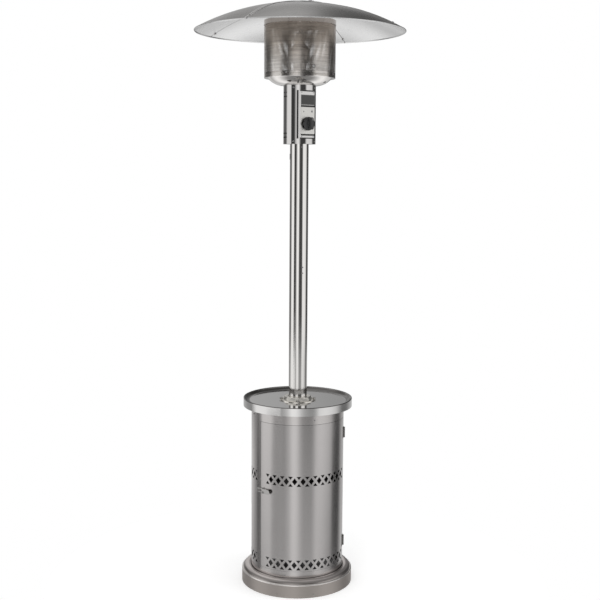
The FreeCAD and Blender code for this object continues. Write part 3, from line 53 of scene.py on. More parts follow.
def placeCamera():
    turn = math.radians(shot["turn"])
    lens = bpy.data.cameras.new("shotCamera")
    lens.sensor_width = shot["sensor"]
    lens.lens = shot["lens"]
    lens.shift_x = shot["shift"]
    lens.clip_end = shot["clipEnd"]
    camera = bpy.data.objects.new("shotCamera", lens)
    aim = Matrix.Rotation(turn, 4, "Z")
    aim = aim @ Matrix.Rotation(math.radians(90 - shot["tilt"]), 4, "X")
    aim = aim @ Matrix.Rotation(math.radians(shot["roll"]), 4, "Z")
    reach = shot["distance"]
    spot = Vector((math.sin(turn) * reach, -math.cos(turn) * reach, shot["height"]))
    camera.matrix_world = Matrix.Translation(spot) @ aim
    scene.collection.objects.link(camera)
    scene.camera = camera


placeCamera()
print("camera placed")


# shader maths written as Python expressions
class Wire:
    def __init__(self, recipe, socket):
        self.recipe = recipe
        self.socket = socket

    def maths(self, operation, first, second=0.0):
        return self.recipe.add("ShaderNodeMath", {"operation": operation}, {0: first, 1: second})

    def does(self, operation, second=0.0):
        return self.maths(operation, self, second)

    def __add__(self, other):
        return self.maths("ADD", self, other)

    def __radd__(self, other):
        return self.maths("ADD", other, self)

    def __sub__(self, other):
        return self.maths("SUBTRACT", self, other)

    def __rsub__(self, other):
        return self.maths("SUBTRACT", other, self)

    def __mul__(self, other):
        return self.maths("MULTIPLY", self, other)

    def __rmul__(self, other):
        return self.maths("MULTIPLY", other, self)

    def __truediv__(self, other):
        return self.maths("DIVIDE", self, other)

    def __lt__(self, other):
        return self.maths("LESS_THAN", self, other)

    def __gt__(self, other):
        return self.maths("GREATER_THAN", self, other)


def opaque(color):
    if isinstance(color, Wire) or len(color) == 4:
        return color
    return (*color, 1)


class Recipe:
    # a node tree being filled
    def __init__(self, tree):
        self.tree = tree
        tree.nodes.clear()

    def add(self, kind, settings=None, sockets=None, outlet=0):
        node = self.tree.nodes.new(kind)
        for name, value in (settings or {}).items():
            if name == "stops":
                self.fillRamp(node.color_ramp, value)
            else:
                setattr(node, name, value)
        for key, value in (sockets or {}).items():
            if isinstance(value, Wire):
                self.tree.links.new(value.socket, node.inputs[key])
            else:
                node.inputs[key].default_value = value
        if not node.outputs:
            return None
        return Wire(self, node.outputs[outlet])

    def fillRamp(self, ramp, stops):
        for number, (place, color) in enumerate(stops):
            stop = ramp.elements[number] if number < 2 else ramp.elements.new(place)
            stop.position = place
            stop.color = opaque(color)

    def place(self):
        return self.add("ShaderNodeTexCoord", outlet="Object")

    def ray(self, kind):
        return self.add("ShaderNodeLightPath", outlet=kind)

    def split(self, vector):
        outputs = self.add("ShaderNodeSeparateXYZ", sockets={0: vector}).socket.node.outputs
        return [Wire(self, outputs[number]) for number in range(3)]

    def join(self, x, y, z):
        return self.add("ShaderNodeCombineXYZ", sockets={0: x, 1: y, 2: z})

    def away(self, vector):
        # distance from the post's axis
        x, y, z = self.split(vector)
        return (x * x + y * y).does("SQRT")

    def stretch(self, vector, amounts):
        return self.add("ShaderNodeVectorMath", {"operation": "MULTIPLY"}, {0: vector, 1: amounts})

    def noise(self, vector, scale, detail=2.0, roughness=0.5):
        sockets = {"Vector": vector, "Scale": scale, "Detail": detail, "Roughness": roughness}
        return self.add("ShaderNodeTexNoise", {}, sockets)

    def remap(self, value, low, high, newLow, newHigh):
        return self.add("ShaderNodeMapRange", {}, {0: value, 1: low, 2: high, 3: newLow, 4: newHigh})

    def blend(self, factor, first, second, kind="MIX"):
        settings = {"data_type": "RGBA", "blend_type": kind}
        return self.add("ShaderNodeMix", settings, {0: factor, 6: opaque(first), 7: opaque(second)}, 2)

    def ramp(self, value, stops):
        return self.add("ShaderNodeValToRGB", {"stops": stops}, {0: value})

    def bump(self, height, strength, distance):
        return self.add("ShaderNodeBump", {}, {"Height": height, "Strength": strength, "Distance": distance})

    def surface(self, sockets):
        shader = self.add("ShaderNodeBsdfPrincipled", {}, sockets)
        self.add("ShaderNodeOutputMaterial", {}, {"Surface": shader})


def newRecipe(name):
    material = bpy.data.materials.new(name)
    material.use_nodes = True
    return material, Recipe(material.node_tree)


# studio: a white room for the camera, soft walls and dark cards for the polished metal
studio = {
    "diffuse": 0.80,         # level of the soft light all round
    "floorWhite": 0.95,      # what metal sees well below the horizon
    # degrees from the camera round to the right, and how bright the room is there:
    # well above the horizon, as the hood sees it
    "highRing": [
        (-180, 0.88), (-170, 0.80), (-160, 0.72), (-130, 0.60), (-100, 0.75), (-50, 0.75), (-40, 0.55),
        (100, 0.55), (125, 0.20), (160, 0.20), (170, 0.25), (172, 0.35), (174, 0.50), (176, 0.72),
        (180, 0.88)],
    # at the horizon, as the post and the head see it
    "levelRing": [
        (-180, 0.38), (-174, 0.45), (-158, 0.50), (-146, 0.30), (-136, 0.12), (-112, 0.14), (-102, 0.45),
        (-96, 1.0), (-64, 1.0), (-59, 0.15), (-55, 0.05), (-37, 0.06), (-32, 0.25), (-26, 0.70), (-12, 1.1),
        (-2, 1.0), (5, 0.30), (10, 0.07), (39, 0.06), (44, 0.25), (50, 0.85), (56, 1.0), (97, 0.90),
        (104, 0.34), (110, 0.12), (118, 0.05), (145, 0.12), (165, 0.14), (172, 0.20), (180, 0.38)],
    # as the rim of the table sees it, between the horizon and the low ring
    "bandRing": [
        (-180, 0.60), (-130, 0.30), (-115, 0.30), (-104, 0.75), (-96, 0.92), (-60, 0.95), (-46, 0.85),
        (-38, 0.78), (-34, 0.42), (-28, 0.50), (-20, 0.72), (-13, 0.95), (-5, 0.95), (2, 0.78), (9, 0.55),
        (17, 0.38), (26, 0.28), (33, 0.30), (40, 0.55), (47, 0.78), (60, 0.84), (75, 0.78), (88, 0.62),
        (98, 0.42), (108, 0.20), (125, 0.20), (150, 0.50), (180, 0.60)],
    # lower, as the housing's upper half sees it
    "lowRing": [
        (-180, 0.60), (-150, 0.75), (-132, 0.52), (-122, 0.30), (-116, 0.04), (-106, 0.02), (-103, 0.25),
        (-99, 0.90), (-80, 0.88), (-71, 0.76), (-66, 0.40), (-62, 0.25), (-52, 0.27), (-22, 0.42),
        (-16, 0.70), (-11, 0.92), (-1, 0.90), (6, 0.70), (13, 0.48), (18, 0.44), (38, 0.42), (42, 0.60),
        (46, 0.84), (66, 0.88), (84, 0.72), (93, 0.52), (97, 0.18), (101, 0.04), (126, 0.04),
        (132, 0.30), (142, 0.55), (180, 0.60)],
    # near the floor, as the housing's foot sees it
    "footRing": [
        (-180, 0.50), (-150, 0.45), (-140, 0.35), (-122, 0.28), (-112, 0.16), (-104, 0.16), (-99, 0.44),
        (-70, 0.56), (-58, 0.48), (-30, 0.48), (-20, 0.55), (-13, 0.76), (-4, 0.78), (4, 0.66),
        (12, 0.53), (20, 0.51), (36, 0.52), (46, 0.64), (56, 0.58), (66, 0.46), (78, 0.33), (88, 0.27),
        (94, 0.18), (110, 0.12), (120, 0.12), (128, 0.25), (136, 0.50), (150, 0.65), (180, 0.50)],
    # where each ring gives way to the next one up, as the height of the ray's direction
    "ringEdges": {
        "footRing": (-0.36, -0.27),
        "lowRing": (-0.236, -0.226),
        "bandRing": (-0.175, -0.150),
        "levelRing": (0.27, 0.42),
    },
    # how much of the walls is left further up
    "ceiling": [
        (-1.0, 1.0), (0.37, 1.0), (0.46, 0.56), (0.60, 0.52), (0.66, 0.72), (0.74, 1.0), (0.85, 0.85),
        (1.0, 0.75)],
    "floorFade": (-0.62, -0.42),
    "underfoot": (-0.92, -0.72, 0.22),   # straight below, where the metal sees itself and its shadow
    "floorRadius": 1.0,
    "floorSides": 96,
    "floorColor": (0.90, 0.90, 0.90),
    "floorGlow": 0.30,
}

lamps = {
    "keyLamp": {"power": 26, "size": 1.6, "spot": (-1.9, -2.6, 2.9)},
    "fillLamp": {"power": 12, "size": 2.0, "spot": (2.6, -1.8, 1.8)},
}
lampAim = Vector((0, 0, 1.2))


def wallRings(recipe, azimuth, height):
    # the room's walls from the floor up, each ring fading into the next
    def ring(name):
        return recipe.ramp(azimuth, [((place + 180) / 360, (value,) * 3) for place, value in studio[name]])

    names = ("footRing", "lowRing", "bandRing", "levelRing", "highRing")
    walls = ring(names[0])
    for lower, upper in zip(names, names[1:]):
        low, high = studio["ringEdges"][lower]
        walls = recipe.blend(recipe.remap(height, low, high, 0, 1), walls, ring(upper))
    ceiling = [((sine + 1) / 2, (value,) * 3) for sine, value in studio["ceiling"]]
    return recipe.blend(1.0, walls, recipe.ramp(height * 0.5 + 0.5, ceiling), "MULTIPLY")


def makeWorld():
    world = bpy.data.worlds.new("studioRoom")
    world.use_nodes = True
    scene.world = world
    recipe = Recipe(world.node_tree)
    x, y, z = recipe.split(recipe.add("ShaderNodeTexCoord", outlet="Generated"))
    turn = math.radians(shot["turn"])
    towards = x * math.sin(turn) + y * -math.cos(turn)
    sideways = x * math.cos(turn) + y * math.sin(turn)
    azimuth = sideways.does("ARCTAN2", towards) / (2 * math.pi) + 0.5
    walls = wallRings(recipe, azimuth, z)
    deep, shallow, level = studio["underfoot"]
    floor = recipe.blend(recipe.remap(z, deep, shallow, 0, 1), (level,) * 3, (studio["floorWhite"],) * 3)
    low, high = studio["floorFade"]
    room = recipe.blend(recipe.remap(z, low, high, 0, 1), floor, walls)
    color = recipe.blend(recipe.ray("Is Glossy Ray"), (studio["diffuse"],) * 3, room)
    seen = (recipe.ray("Is Camera Ray") + recipe.ray("Is Transmission Ray")).does("MINIMUM", 1.0)
    color = recipe.blend(seen, color, (1.0, 1.0, 1.0))
    background = recipe.add("ShaderNodeBackground", {}, {"Color": color, "Strength": 1.0})
    recipe.add("ShaderNodeOutputWorld", {}, {"Surface": background})
    world.cycles.sampling_method = "NONE"


def makeLamp(name, look):
    lamp = bpy.data.lights.new(name, "AREA")
    lamp.energy = look["power"]
    lamp.shape = "DISK"
    lamp.size = look["size"]
    holder = bpy.data.objects.new(name, lamp)
    spot = Vector(look["spot"])
    turned = (spot - lampAim).to_track_quat("Z", "Y").to_matrix().to_4x4()
    holder.matrix_world = Matrix.Translation(spot) @ turned
    holder.visible_glossy = False
    scene.collection.objects.link(holder)


def makeFloor():
    mesh = bpy.data.meshes.new("floor")
    board = bmesh.new()
    bmesh.ops.create_circle(board, cap_ends=True, segments=studio["floorSides"], radius=studio["floorRadius"])
    board.to_mesh(mesh)
    board.free()
    floor = bpy.data.objects.new("floor", mesh)
    scene.collection.objects.link(floor)
    material, recipe = newRecipe("paleFloor")
    level = recipe.ray("Is Camera Ray") * studio["floorGlow"]
    glow = recipe.add("ShaderNodeEmission", {}, {"Color": (1, 1, 1, 1), "Strength": level})
    plain = recipe.add("ShaderNodeBsdfDiffuse", {}, {"Color": opaque(studio["floorColor"])})
    both = recipe.add("ShaderNodeAddShader", {}, {0: plain, 1: glow})
    recipe.add("ShaderNodeOutputMaterial", {}, {"Surface": both})
    mesh.materials.append(material)
    floor.visible_glossy = False


makeWorld()
for lampName, lampLook in lamps.items():
    makeLamp(lampName, lampLook)
makeFloor()
print("studio lit")


# the sphere that the top of the hood follows, in metres, with its seams and its rolled rim
dome = {
    "centre": 1.42636,
    "radius": 0.85364,
    "skin": 0.0003,          # below this depth the petals show their underside
    "bead": 0.4035,          # the rolled rim begins here; from here out it is painted pale as a painted highlight
    "inside": (0.840, 0.838, 0.835),
    "lap": 0.007,            # half width of the laps
    # painted highlight along the raised edges of the laps
    "wearAndHighlight": (0.90, 0.89, 0.88),
    "lapHighlightReach": (0.0022, 0.0042),
    # painted shade along the seams under the hood
    "seamShade": (0.10, 0.095, 0.09),
    "seamShadeReach": (0.0008, 0.0018),
}


def hoodSides(recipe, place, color, rough):
    # grey above with a painted highlight along the edges of the laps, pale below with painted shade along the
    # seams, and pale round the rim as a painted highlight
    x, y, z = recipe.split(place)
    high = z - dome["centre"]
    under = (x * x + y * y + high * high).does("SQRT") < dome["radius"] - dome["skin"]
    # pale on the underside, and on the rolled rim as a painted highlight
    pale = under.does("MAXIMUM", recipe.away(place) > dome["bead"])
    seam = (x + y).does("ABSOLUTE").does("MINIMUM", (x - y).does("ABSOLUTE")) / math.sqrt(2)
    # painted highlight along the edges of the laps
    wearAndHighlight = recipe.remap((seam - dome["lap"]).does("ABSOLUTE"), *dome["lapHighlightReach"], 1, 0)
    # painted shade along the seams on the underside
    seamShade = recipe.remap(seam, *dome["seamShadeReach"], 1, 0)
    above = recipe.blend(wearAndHighlight, color, dome["wearAndHighlight"])
    below = recipe.blend(seamShade, dome["inside"], dome["seamShade"])
    return recipe.blend(pale, above, below), rough


# the housing's sheet gets painted shade on its inner side, inside this distance in metres from the post's
# axis
wall = {"middle": 0.1834, "insideShade": (0.300, 0.290, 0.285)}


def shadeInside(recipe, place, color, rough):
    # painted shade on the inner side of the sheet
    return recipe.blend(recipe.away(place) < wall["middle"], color, wall["insideShade"]), rough


# the curved lip round the tray and the top edge of its band get a painted dark reflection; in metres from the
# post's axis
lip = {
    "inner": (0.1905, 0.1935),
    "outer": (0.2096, 0.2106),
    "front": (-0.15, -0.09),     # the painted reflection fades out towards the front
    "edge": (0.7470, 0.7480),    # height from which the band's top edge gets the painted dark reflection
    # colour of the painted dark reflection
    "color": (0.190, 0.182, 0.175),
}


def lipDarkReflection(recipe, place, color, rough):
    # painted dark reflection on the lip, and along the top edge of the band
    x, y, z = recipe.split(place)
    away = recipe.away(place)
    dark = recipe.remap(away, *lip["inner"], 0, 1) * recipe.remap(away, *lip["outer"], 1, 0)
    dark = dark * recipe.remap(y, *lip["front"], 0, 1)
    edge = recipe.remap(z, *lip["edge"], 0, 1) * (away > lip["outer"][1])
    return recipe.blend(dark.does("MAXIMUM", edge), color, lip["color"]), rough


# the base cover gets painted light above its skirt: a painted highlight on the ridge, painted shade in the
# hollow above it, lighter higher up, painted shade along the joint with the housing, and it is smoother
# there; heights in metres
baseTopLight = {
    "skirt": (0.0475, 0.0485),
    "ridge": (0.0530, 0.0545),
    "hollow": (0.0620, 0.0648),  # the hollow's painted shade gives way here to the lighter upper part
    "joint": (0.1862, 0.1876),   # from the axis, where painted shade runs along the joint with the housing
    "ridgeHighlight": (0.97, 0.93, 0.90),
    "hollowShade": (0.37, 0.342, 0.328),
    "upperLight": (0.82, 0.765, 0.74),
    "jointShade": (0.045, 0.040, 0.038),
    "smoother": 0.16,
}


def paintBaseTopLight(recipe, place, color, rough):
    # painted highlight on the ridge, painted light higher up, painted shade in the hollow and along the joint
    # with the housing
    height = recipe.split(place)[2]
    upper = recipe.remap(height, *baseTopLight["skirt"], 0, 1)
    ridge = upper * recipe.remap(height, *baseTopLight["ridge"], 1, 0)
    upperLit = recipe.remap(height, *baseTopLight["hollow"], 0, 1)
    joint = upper * recipe.remap(recipe.away(place), *baseTopLight["joint"], 1, 0)
    color = recipe.blend(upper, color, recipe.blend(upperLit, baseTopLight["hollowShade"], baseTopLight["upperLight"]))
    color = recipe.blend(ridge, color, baseTopLight["ridgeHighlight"])
    color = recipe.blend(joint, color, baseTopLight["jointShade"])
    return color, rough - upper * baseTopLight["smoother"]


# brushed and polished sheet: grain is how many lines a metre along X, Y and Z, or rings round the
# post, and parts gives some areas of a piece painted light and shade, and the hood its pale underside
brushed = {
    "baseSteel": {
        "color": (0.470, 0.430, 0.402), "rough": 0.46, "grain": (9, 9, 1700), "streak": 0.08,
        "smudge": 0.08, "anisotropy": 0.20, "parts": paintBaseTopLight},
    "housingSteel": {
        "color": (0.605, 0.580, 0.570), "rough": 0.20, "grain": (7, 7, 2100), "streak": 0.05,
        "smudge": 0.05, "anisotropy": 0.60, "parts": shadeInside},
    "doorSteel": {
        "color": (0.575, 0.554, 0.546), "rough": 0.20, "grain": (8, 8, 2100), "streak": 0.05,
        "smudge": 0.05, "anisotropy": 0.60, "parts": shadeInside},
    "tableSteel": {
        "color": (0.780, 0.770, 0.760), "rough": 0.09, "grain": "rings", "streak": 0.06,
        "smudge": 0.05, "anisotropy": 0.4, "parts": lipDarkReflection},
    "latchSteel": {
        "color": (0.500, 0.490, 0.480), "rough": 0.22, "grain": (500, 500, 900), "streak": 0.08,
        "smudge": 0.08, "anisotropy": 0.2},
    "bowlSteel": {
        "color": (0.860, 0.835, 0.810), "rough": 0.15, "grain": "rings", "streak": 0.10,
        "smudge": 0.12, "anisotropy": 0.4},
    "ringSteel": {
        "color": (0.380, 0.345, 0.320), "rough": 0.14, "grain": (9, 9, 1600), "streak": 0.10,
        "smudge": 0.12, "anisotropy": 0.5},
    "hoodAluminium": {
        "color": (0.400, 0.390, 0.380), "rough": 0.26, "grain": "rings", "streak": 0.07,
        "smudge": 0.10, "anisotropy": 0.4, "parts": hoodSides},
    "capAluminium": {
        "color": (0.290, 0.283, 0.276), "rough": 0.24, "grain": "rings", "streak": 0.08,
        "smudge": 0.10, "anisotropy": 0.4},
    "postSteel": {
        "color": (0.800, 0.785, 0.765), "rough": 0.08, "grain": (6, 6, 2400), "streak": 0.04,
        "smudge": 0.07, "anisotropy": 0.5},
    "headSteel": {
        "color": (0.640, 0.628, 0.618), "rough": 0.08, "grain": (7, 7, 2300), "streak": 0.05,
        "smudge": 0.08, "anisotropy": 0.5},
    "panelSteel": {
        "color": (0.650, 0.640, 0.630), "rough": 0.24, "grain": (8, 8, 1800), "streak": 0.07,
        "smudge": 0.08, "anisotropy": 0.4},
    "dialAluminium": {
        "color": (0.690, 0.680, 0.655), "rough": 0.33, "grain": (8, 8, 1500), "streak": 0.06,
        "smudge": 0.05, "anisotropy": 0.3},
}

# what those sheets share
sheet = {
    "ringsOut": 1700,        # lines a metre where the grain is rings: outwards, round and upwards
    "ringsRound": 9,
    "ringsUp": 40,
    "clouds": 6.0,
    "hands": (21, 21, 15),
    "prints": (0.52, 0.72),  # from where the hands leave a print to where it's full
    "lineRough": 0.05,
    "printRough": 0.03,
    "relief": 0.02,
    "depth": 0.0003,
}
acrossGrain = 0.25           # a quarter turn, so that highlights are drawn out across the grain


def grainPlace(recipe, place, grain):
    if grain != "rings":
        return recipe.stretch(place, grain)
    x, y, z = recipe.split(place)
    across = x * sheet["ringsRound"] + z * sheet["ringsUp"]
    return recipe.join(recipe.away(place) * sheet["ringsOut"], across, y * sheet["ringsRound"])


def brushedMetal(name, look):
    material, recipe = newRecipe(name)
    place = recipe.place()
    streak, smudge = look["streak"], look["smudge"]
    lines = recipe.noise(grainPlace(recipe, place, look["grain"]), 1.0, detail=3.0, roughness=0.6)
    cloud = recipe.noise(place, sheet["clouds"], detail=3.0, roughness=0.55)
    hands = recipe.noise(recipe.stretch(place, sheet["hands"]), 1.0, detail=4.0, roughness=0.6)
    prints = recipe.remap(hands, *sheet["prints"], 0, 1)
    shade = recipe.remap(lines * streak + cloud * smudge, 0, streak + smudge, 0, 1)
    light = tuple(min(1, channel * (1 + streak)) for channel in look["color"])
    dark = tuple(channel * (1 - streak) for channel in look["color"])
    color = recipe.blend(shade, dark, light)
    rough = look["rough"] + (lines - 0.5) * sheet["lineRough"] + (cloud - 0.5) * smudge
    rough = rough + prints * sheet["printRough"]
    if "parts" in look:
        color, rough = look["parts"](recipe, place, color, rough)
    recipe.surface({
        "Base Color": color, "Metallic": 1.0, "Roughness": rough,
        "Anisotropic": look["anisotropy"], "Anisotropic Rotation": acrossGrain,
        "Normal": recipe.bump(lines, sheet["relief"], sheet["depth"]),
    })
    return material


plated = {
    "zinc": {
        "blue": (0.50, 0.505, 0.52), "warm": (0.64, 0.63, 0.61), "clouds": 24.0, "edges": (0.35, 0.65),
        "flakes": 260.0, "flakeShare": 0.10, "rough": 0.30, "cloudRough": 0.16, "skin": 900.0,
        "relief": 0.06, "depth": 0.0002},
}


def platedMetal(name, look):
    # clouded plating with its faint crystal pattern
    material, recipe = newRecipe(name)
    place = recipe.place()
    flakes = recipe.add("ShaderNodeTexVoronoi", {}, {"Vector": place, "Scale": look["flakes"]}, "Color")
    cloud = recipe.noise(place, look["clouds"], detail=4.0, roughness=0.6)
    tint = recipe.blend(recipe.remap(cloud, *look["edges"], 0, 1), look["blue"], look["warm"])
    skin = recipe.noise(place, look["skin"])
    recipe.surface({
        "Base Color": recipe.blend(look["flakeShare"], tint, flakes, "OVERLAY"), "Metallic": 1.0,
        "Roughness": look["rough"] + cloud * look["cloudRough"],
        "Normal": recipe.bump(skin, look["relief"], look["depth"]),
    })
    return material


cast = {
    "hingeDark": {"color": (0.30, 0.29, 0.28), "rough": 0.30, "pits": 0.10},
    # steel, made darker as painted shade for the shadows round the bolts
    "boltSteel": {"color": (0.55, 0.54, 0.52), "rough": 0.36, "pits": 0.05},
    "flangeSteel": {"color": (0.96, 0.93, 0.87), "rough": 0.24, "pits": 0.05},
    "castAluminium": {"color": (0.56, 0.56, 0.57), "rough": 0.42, "pits": 0.20},
    "brass": {"color": (0.72, 0.56, 0.28), "rough": 0.26, "pits": 0.05},
    # dark colour of the screws' crossed recesses: painted shade
    "recess": {"color": (0.11, 0.11, 0.11), "rough": 0.5, "pits": 0.10},
}
casting = {"skin": 420.0, "clouds": 30.0, "dark": 0.82, "pitRough": 0.18, "depth": 0.0004}


def castMetal(name, look):
    # solid metal with a pitted skin
    material, recipe = newRecipe(name)
    place = recipe.place()
    skin = recipe.noise(place, casting["skin"], detail=4.0, roughness=0.65)
    cloud = recipe.noise(place, casting["clouds"], detail=3.0)
    dark = tuple(channel * casting["dark"] for channel in look["color"])
    recipe.surface({
        "Base Color": recipe.blend(cloud, dark, look["color"]), "Metallic": 1.0,
        "Roughness": look["rough"] + (skin - 0.5) * casting["pitRough"],
        "Normal": recipe.bump(skin, look["pits"], casting["depth"]),
    })
    return material


moulded = {
    "wheelPlastic": {"color": (0.030, 0.030, 0.031), "rough": 0.55, "pores": 0.25, "wear": 0.35},
    "blackPlastic": {"color": (0.028, 0.028, 0.029), "rough": 0.42, "pores": 0.18, "wear": 0.12},
    "blackRubber": {"color": (0.020, 0.020, 0.020), "rough": 0.60, "pores": 0.20, "wear": 0.25},
}
moulding = {
    "texture": 1500.0, "clouds": 45.0, "wearAndHighlight": (0.50, 0.75), "pale": 2.2, "dust": 0.02,
    "cloudRough": 0.16, "textureRough": 0.06, "depth": 0.0003,
}


def mouldedSkin(name, look):
    # plastic or rubber with a fine mould texture, a little dust and paler worn places
    material, recipe = newRecipe(name)
    place = recipe.place()
    texture = recipe.noise(place, moulding["texture"])
    cloud = recipe.noise(place, moulding["clouds"], detail=4.0, roughness=0.6)
    rub = recipe.remap(cloud, *moulding["wearAndHighlight"], 0, look["wear"])
    pale = tuple(channel * moulding["pale"] + moulding["dust"] for channel in look["color"])
    rough = look["rough"] + (cloud - 0.5) * moulding["cloudRough"]
    recipe.surface({
        "Base Color": recipe.blend(rub, look["color"], pale), "Metallic": 0.0,
        "Roughness": rough + (texture - 0.5) * moulding["textureRough"],
        "Normal": recipe.bump(texture, look["pores"], moulding["depth"]),
    })
    return material


painted = {
    "darkPlate": {
        "color": (0.036, 0.036, 0.035), "pale": 1.25, "clouds": 40.0, "rough": 0.34, "cloudRough": 0.12,
        "peel": 700.0, "relief": 0.04, "depth": 0.0002},
}


def paintedPlate(name, look):
    # dark paint with a slight orange peel
    material, recipe = newRecipe(name)
    place = recipe.place()
    cloud = recipe.noise(place, look["clouds"], detail=3.0)
    peel = recipe.noise(place, look["peel"])
    pale = tuple(channel * look["pale"] for channel in look["color"])
    recipe.surface({
        "Base Color": recipe.blend(cloud, look["color"], pale), "Metallic": 0.0,
        "Roughness": look["rough"] + (cloud - 0.5) * look["cloudRough"],
        "Normal": recipe.bump(peel, look["relief"], look["depth"]),
    })
    return material


printed = {
    "printInk": {"color": (0.09, 0.09, 0.10), "rough": 0.50},
    "printGrey": {"color": (0.22, 0.22, 0.22), "rough": 0.45},
}
printing = {
    "specks": 900.0, "wearAndHighlight": (0.45, 0.8), "wear": 0.6, "pale": 1.3, "dust": 0.01, "speckRough": 0.1,
    "relief": 0.03, "depth": 0.0001,
}


def printedInk(name, look):
    # ink with small worn specks
    material, recipe = newRecipe(name)
    speck = recipe.noise(recipe.place(), printing["specks"], detail=3.0, roughness=0.6)
    rub = recipe.remap(speck, *printing["wearAndHighlight"], 0, printing["wear"])
    pale = tuple(channel * printing["pale"] + printing["dust"] for channel in look["color"])
    recipe.surface({
        "Base Color": recipe.blend(rub, look["color"], pale), "Metallic": 0.0,
        "Roughness": look["rough"] + (speck - 0.5) * printing["speckRough"],
        "Normal": recipe.bump(speck, printing["relief"], printing["depth"]),
    })
    return material


# colours that the flame leaves on steel
heat = {
    "stops": [
        (0.0, (0.92, 0.885, 0.845)),     # clean metal
        (0.35, (0.64, 0.565, 0.495)),    # straw
        (0.66, (0.43, 0.360, 0.305)),    # bronze
        (0.84, (0.28, 0.27, 0.30)),      # blue
        (1.0, (0.43, 0.360, 0.305)),     # bronze again
    ],
    "hottest": 0.85,         # how far through those the top gets
    "clouds": 11.0,
    "drift": 0.5,            # how far the colours' edges wander
}


def heatTint(recipe, place, bottom, top):
    # the colours from the bottom up, and the noise that moves their edges
    height = recipe.split(place)[2]
    drift = recipe.noise(place, heat["clouds"], detail=4.0, roughness=0.6)
    level = recipe.remap(height, bottom, top, 0, heat["hottest"]) + (drift - 0.5) * heat["drift"]
    return recipe.ramp(level, heat["stops"]), drift


burner = {
    "burnerSteel": {"bottom": 2.00, "top": 2.20, "rough": 0.34},
    "emitterSteel": {"bottom": 2.12, "top": 2.30, "rough": 0.30},
}
burnt = {"grain": (20, 20, 1500), "driftRough": 0.2, "relief": 0.05, "depth": 0.0003}


def burnerMetal(name, look):
    material, recipe = newRecipe(name)
    place = recipe.place()
    color, drift = heatTint(recipe, place, look["bottom"], look["top"])
    lines = recipe.noise(recipe.stretch(place, burnt["grain"]), 1.0)
    recipe.surface({
        "Base Color": color, "Metallic": 1.0,
        "Roughness": look["rough"] + (drift - 0.5) * burnt["driftRough"],
        "Normal": recipe.bump(lines, burnt["relief"], burnt["depth"]),
    })
    return material


screen = {
    "radius": 0.1372,
    "around": 270,           # holes in a row
    "hole": 0.00098,         # radius of a hole
    "rows": (2.0185, 2.1965),
    "plainSeam": 0.007,      # half width of the lapped seam at the back
    "heated": (2.03, 2.27),
    "rim": (0.16, 0.15, 0.14),
    "rimSize": 1.25,         # of the hole's radius
    "marks": (0.12, 0.10, 0.085),
    "markGrain": (5, 5, 210),
    "markEdges": (0.42, 0.62),
    "markDepth": 0.40,       # how dark the rolling marks along the rows are
    "rough": 0.22,
    "rowsRough": 0.07,
    "driftRough": 0.08,
    "anisotropy": 0.4,
}


def screenMetal(name):
    # staggered rows of round holes in a tube
    material, recipe = newRecipe(name)
    place = recipe.place()
    x, y, z = recipe.split(place)
    pitch = 2 * math.pi * screen["radius"] / screen["around"]
    rise = pitch * math.sqrt(3)
    around = x.does("ARCTAN2", y * -1.0) * screen["radius"]

    def nearest(shift):
        across = ((around / pitch + shift).does("FRACT") - 0.5) * pitch
        up = ((z / rise + shift).does("FRACT") - 0.5) * rise
        return (across * across + up * up).does("SQRT")

    away = nearest(0.0).does("MINIMUM", nearest(0.5))
    low, high = screen["rows"]
    inRows = (z > low) * (z < high)
    offSeam = around.does("ABSOLUTE") < math.pi * screen["radius"] - screen["plainSeam"]
    pierced = (away < screen["hole"]) * inRows * offSeam
    color, drift = heatTint(recipe, place, *screen["heated"])
    edge = recipe.remap(away, screen["hole"], screen["hole"] * screen["rimSize"], 0, 1)
    color = recipe.blend(edge, screen["rim"], color)
    marks = recipe.noise(recipe.stretch(place, screen["markGrain"]), 1.0, detail=3.0, roughness=0.75)
    marked = recipe.remap(marks, *screen["markEdges"], 0, screen["markDepth"])
    rough = screen["rough"] + inRows * screen["rowsRough"] + (drift - 0.5) * screen["driftRough"]
    recipe.surface({
        "Base Color": recipe.blend(marked, color, screen["marks"]), "Metallic": 1.0, "Roughness": rough,
        "Alpha": 1 - pierced, "Anisotropic": screen["anisotropy"], "Anisotropic Rotation": acrossGrain,
    })
    return material


finish = {"screenSteel": screenMetal("screenSteel")}
kinds = [(brushedMetal, brushed), (platedMetal, plated), (castMetal, cast), (mouldedSkin, moulded),
         (paintedPlate, painted), (printedInk, printed), (burnerMetal, burner)]
for make, looks in kinds:
    for finishName, look in looks.items():
        finish[finishName] = make(finishName, look)

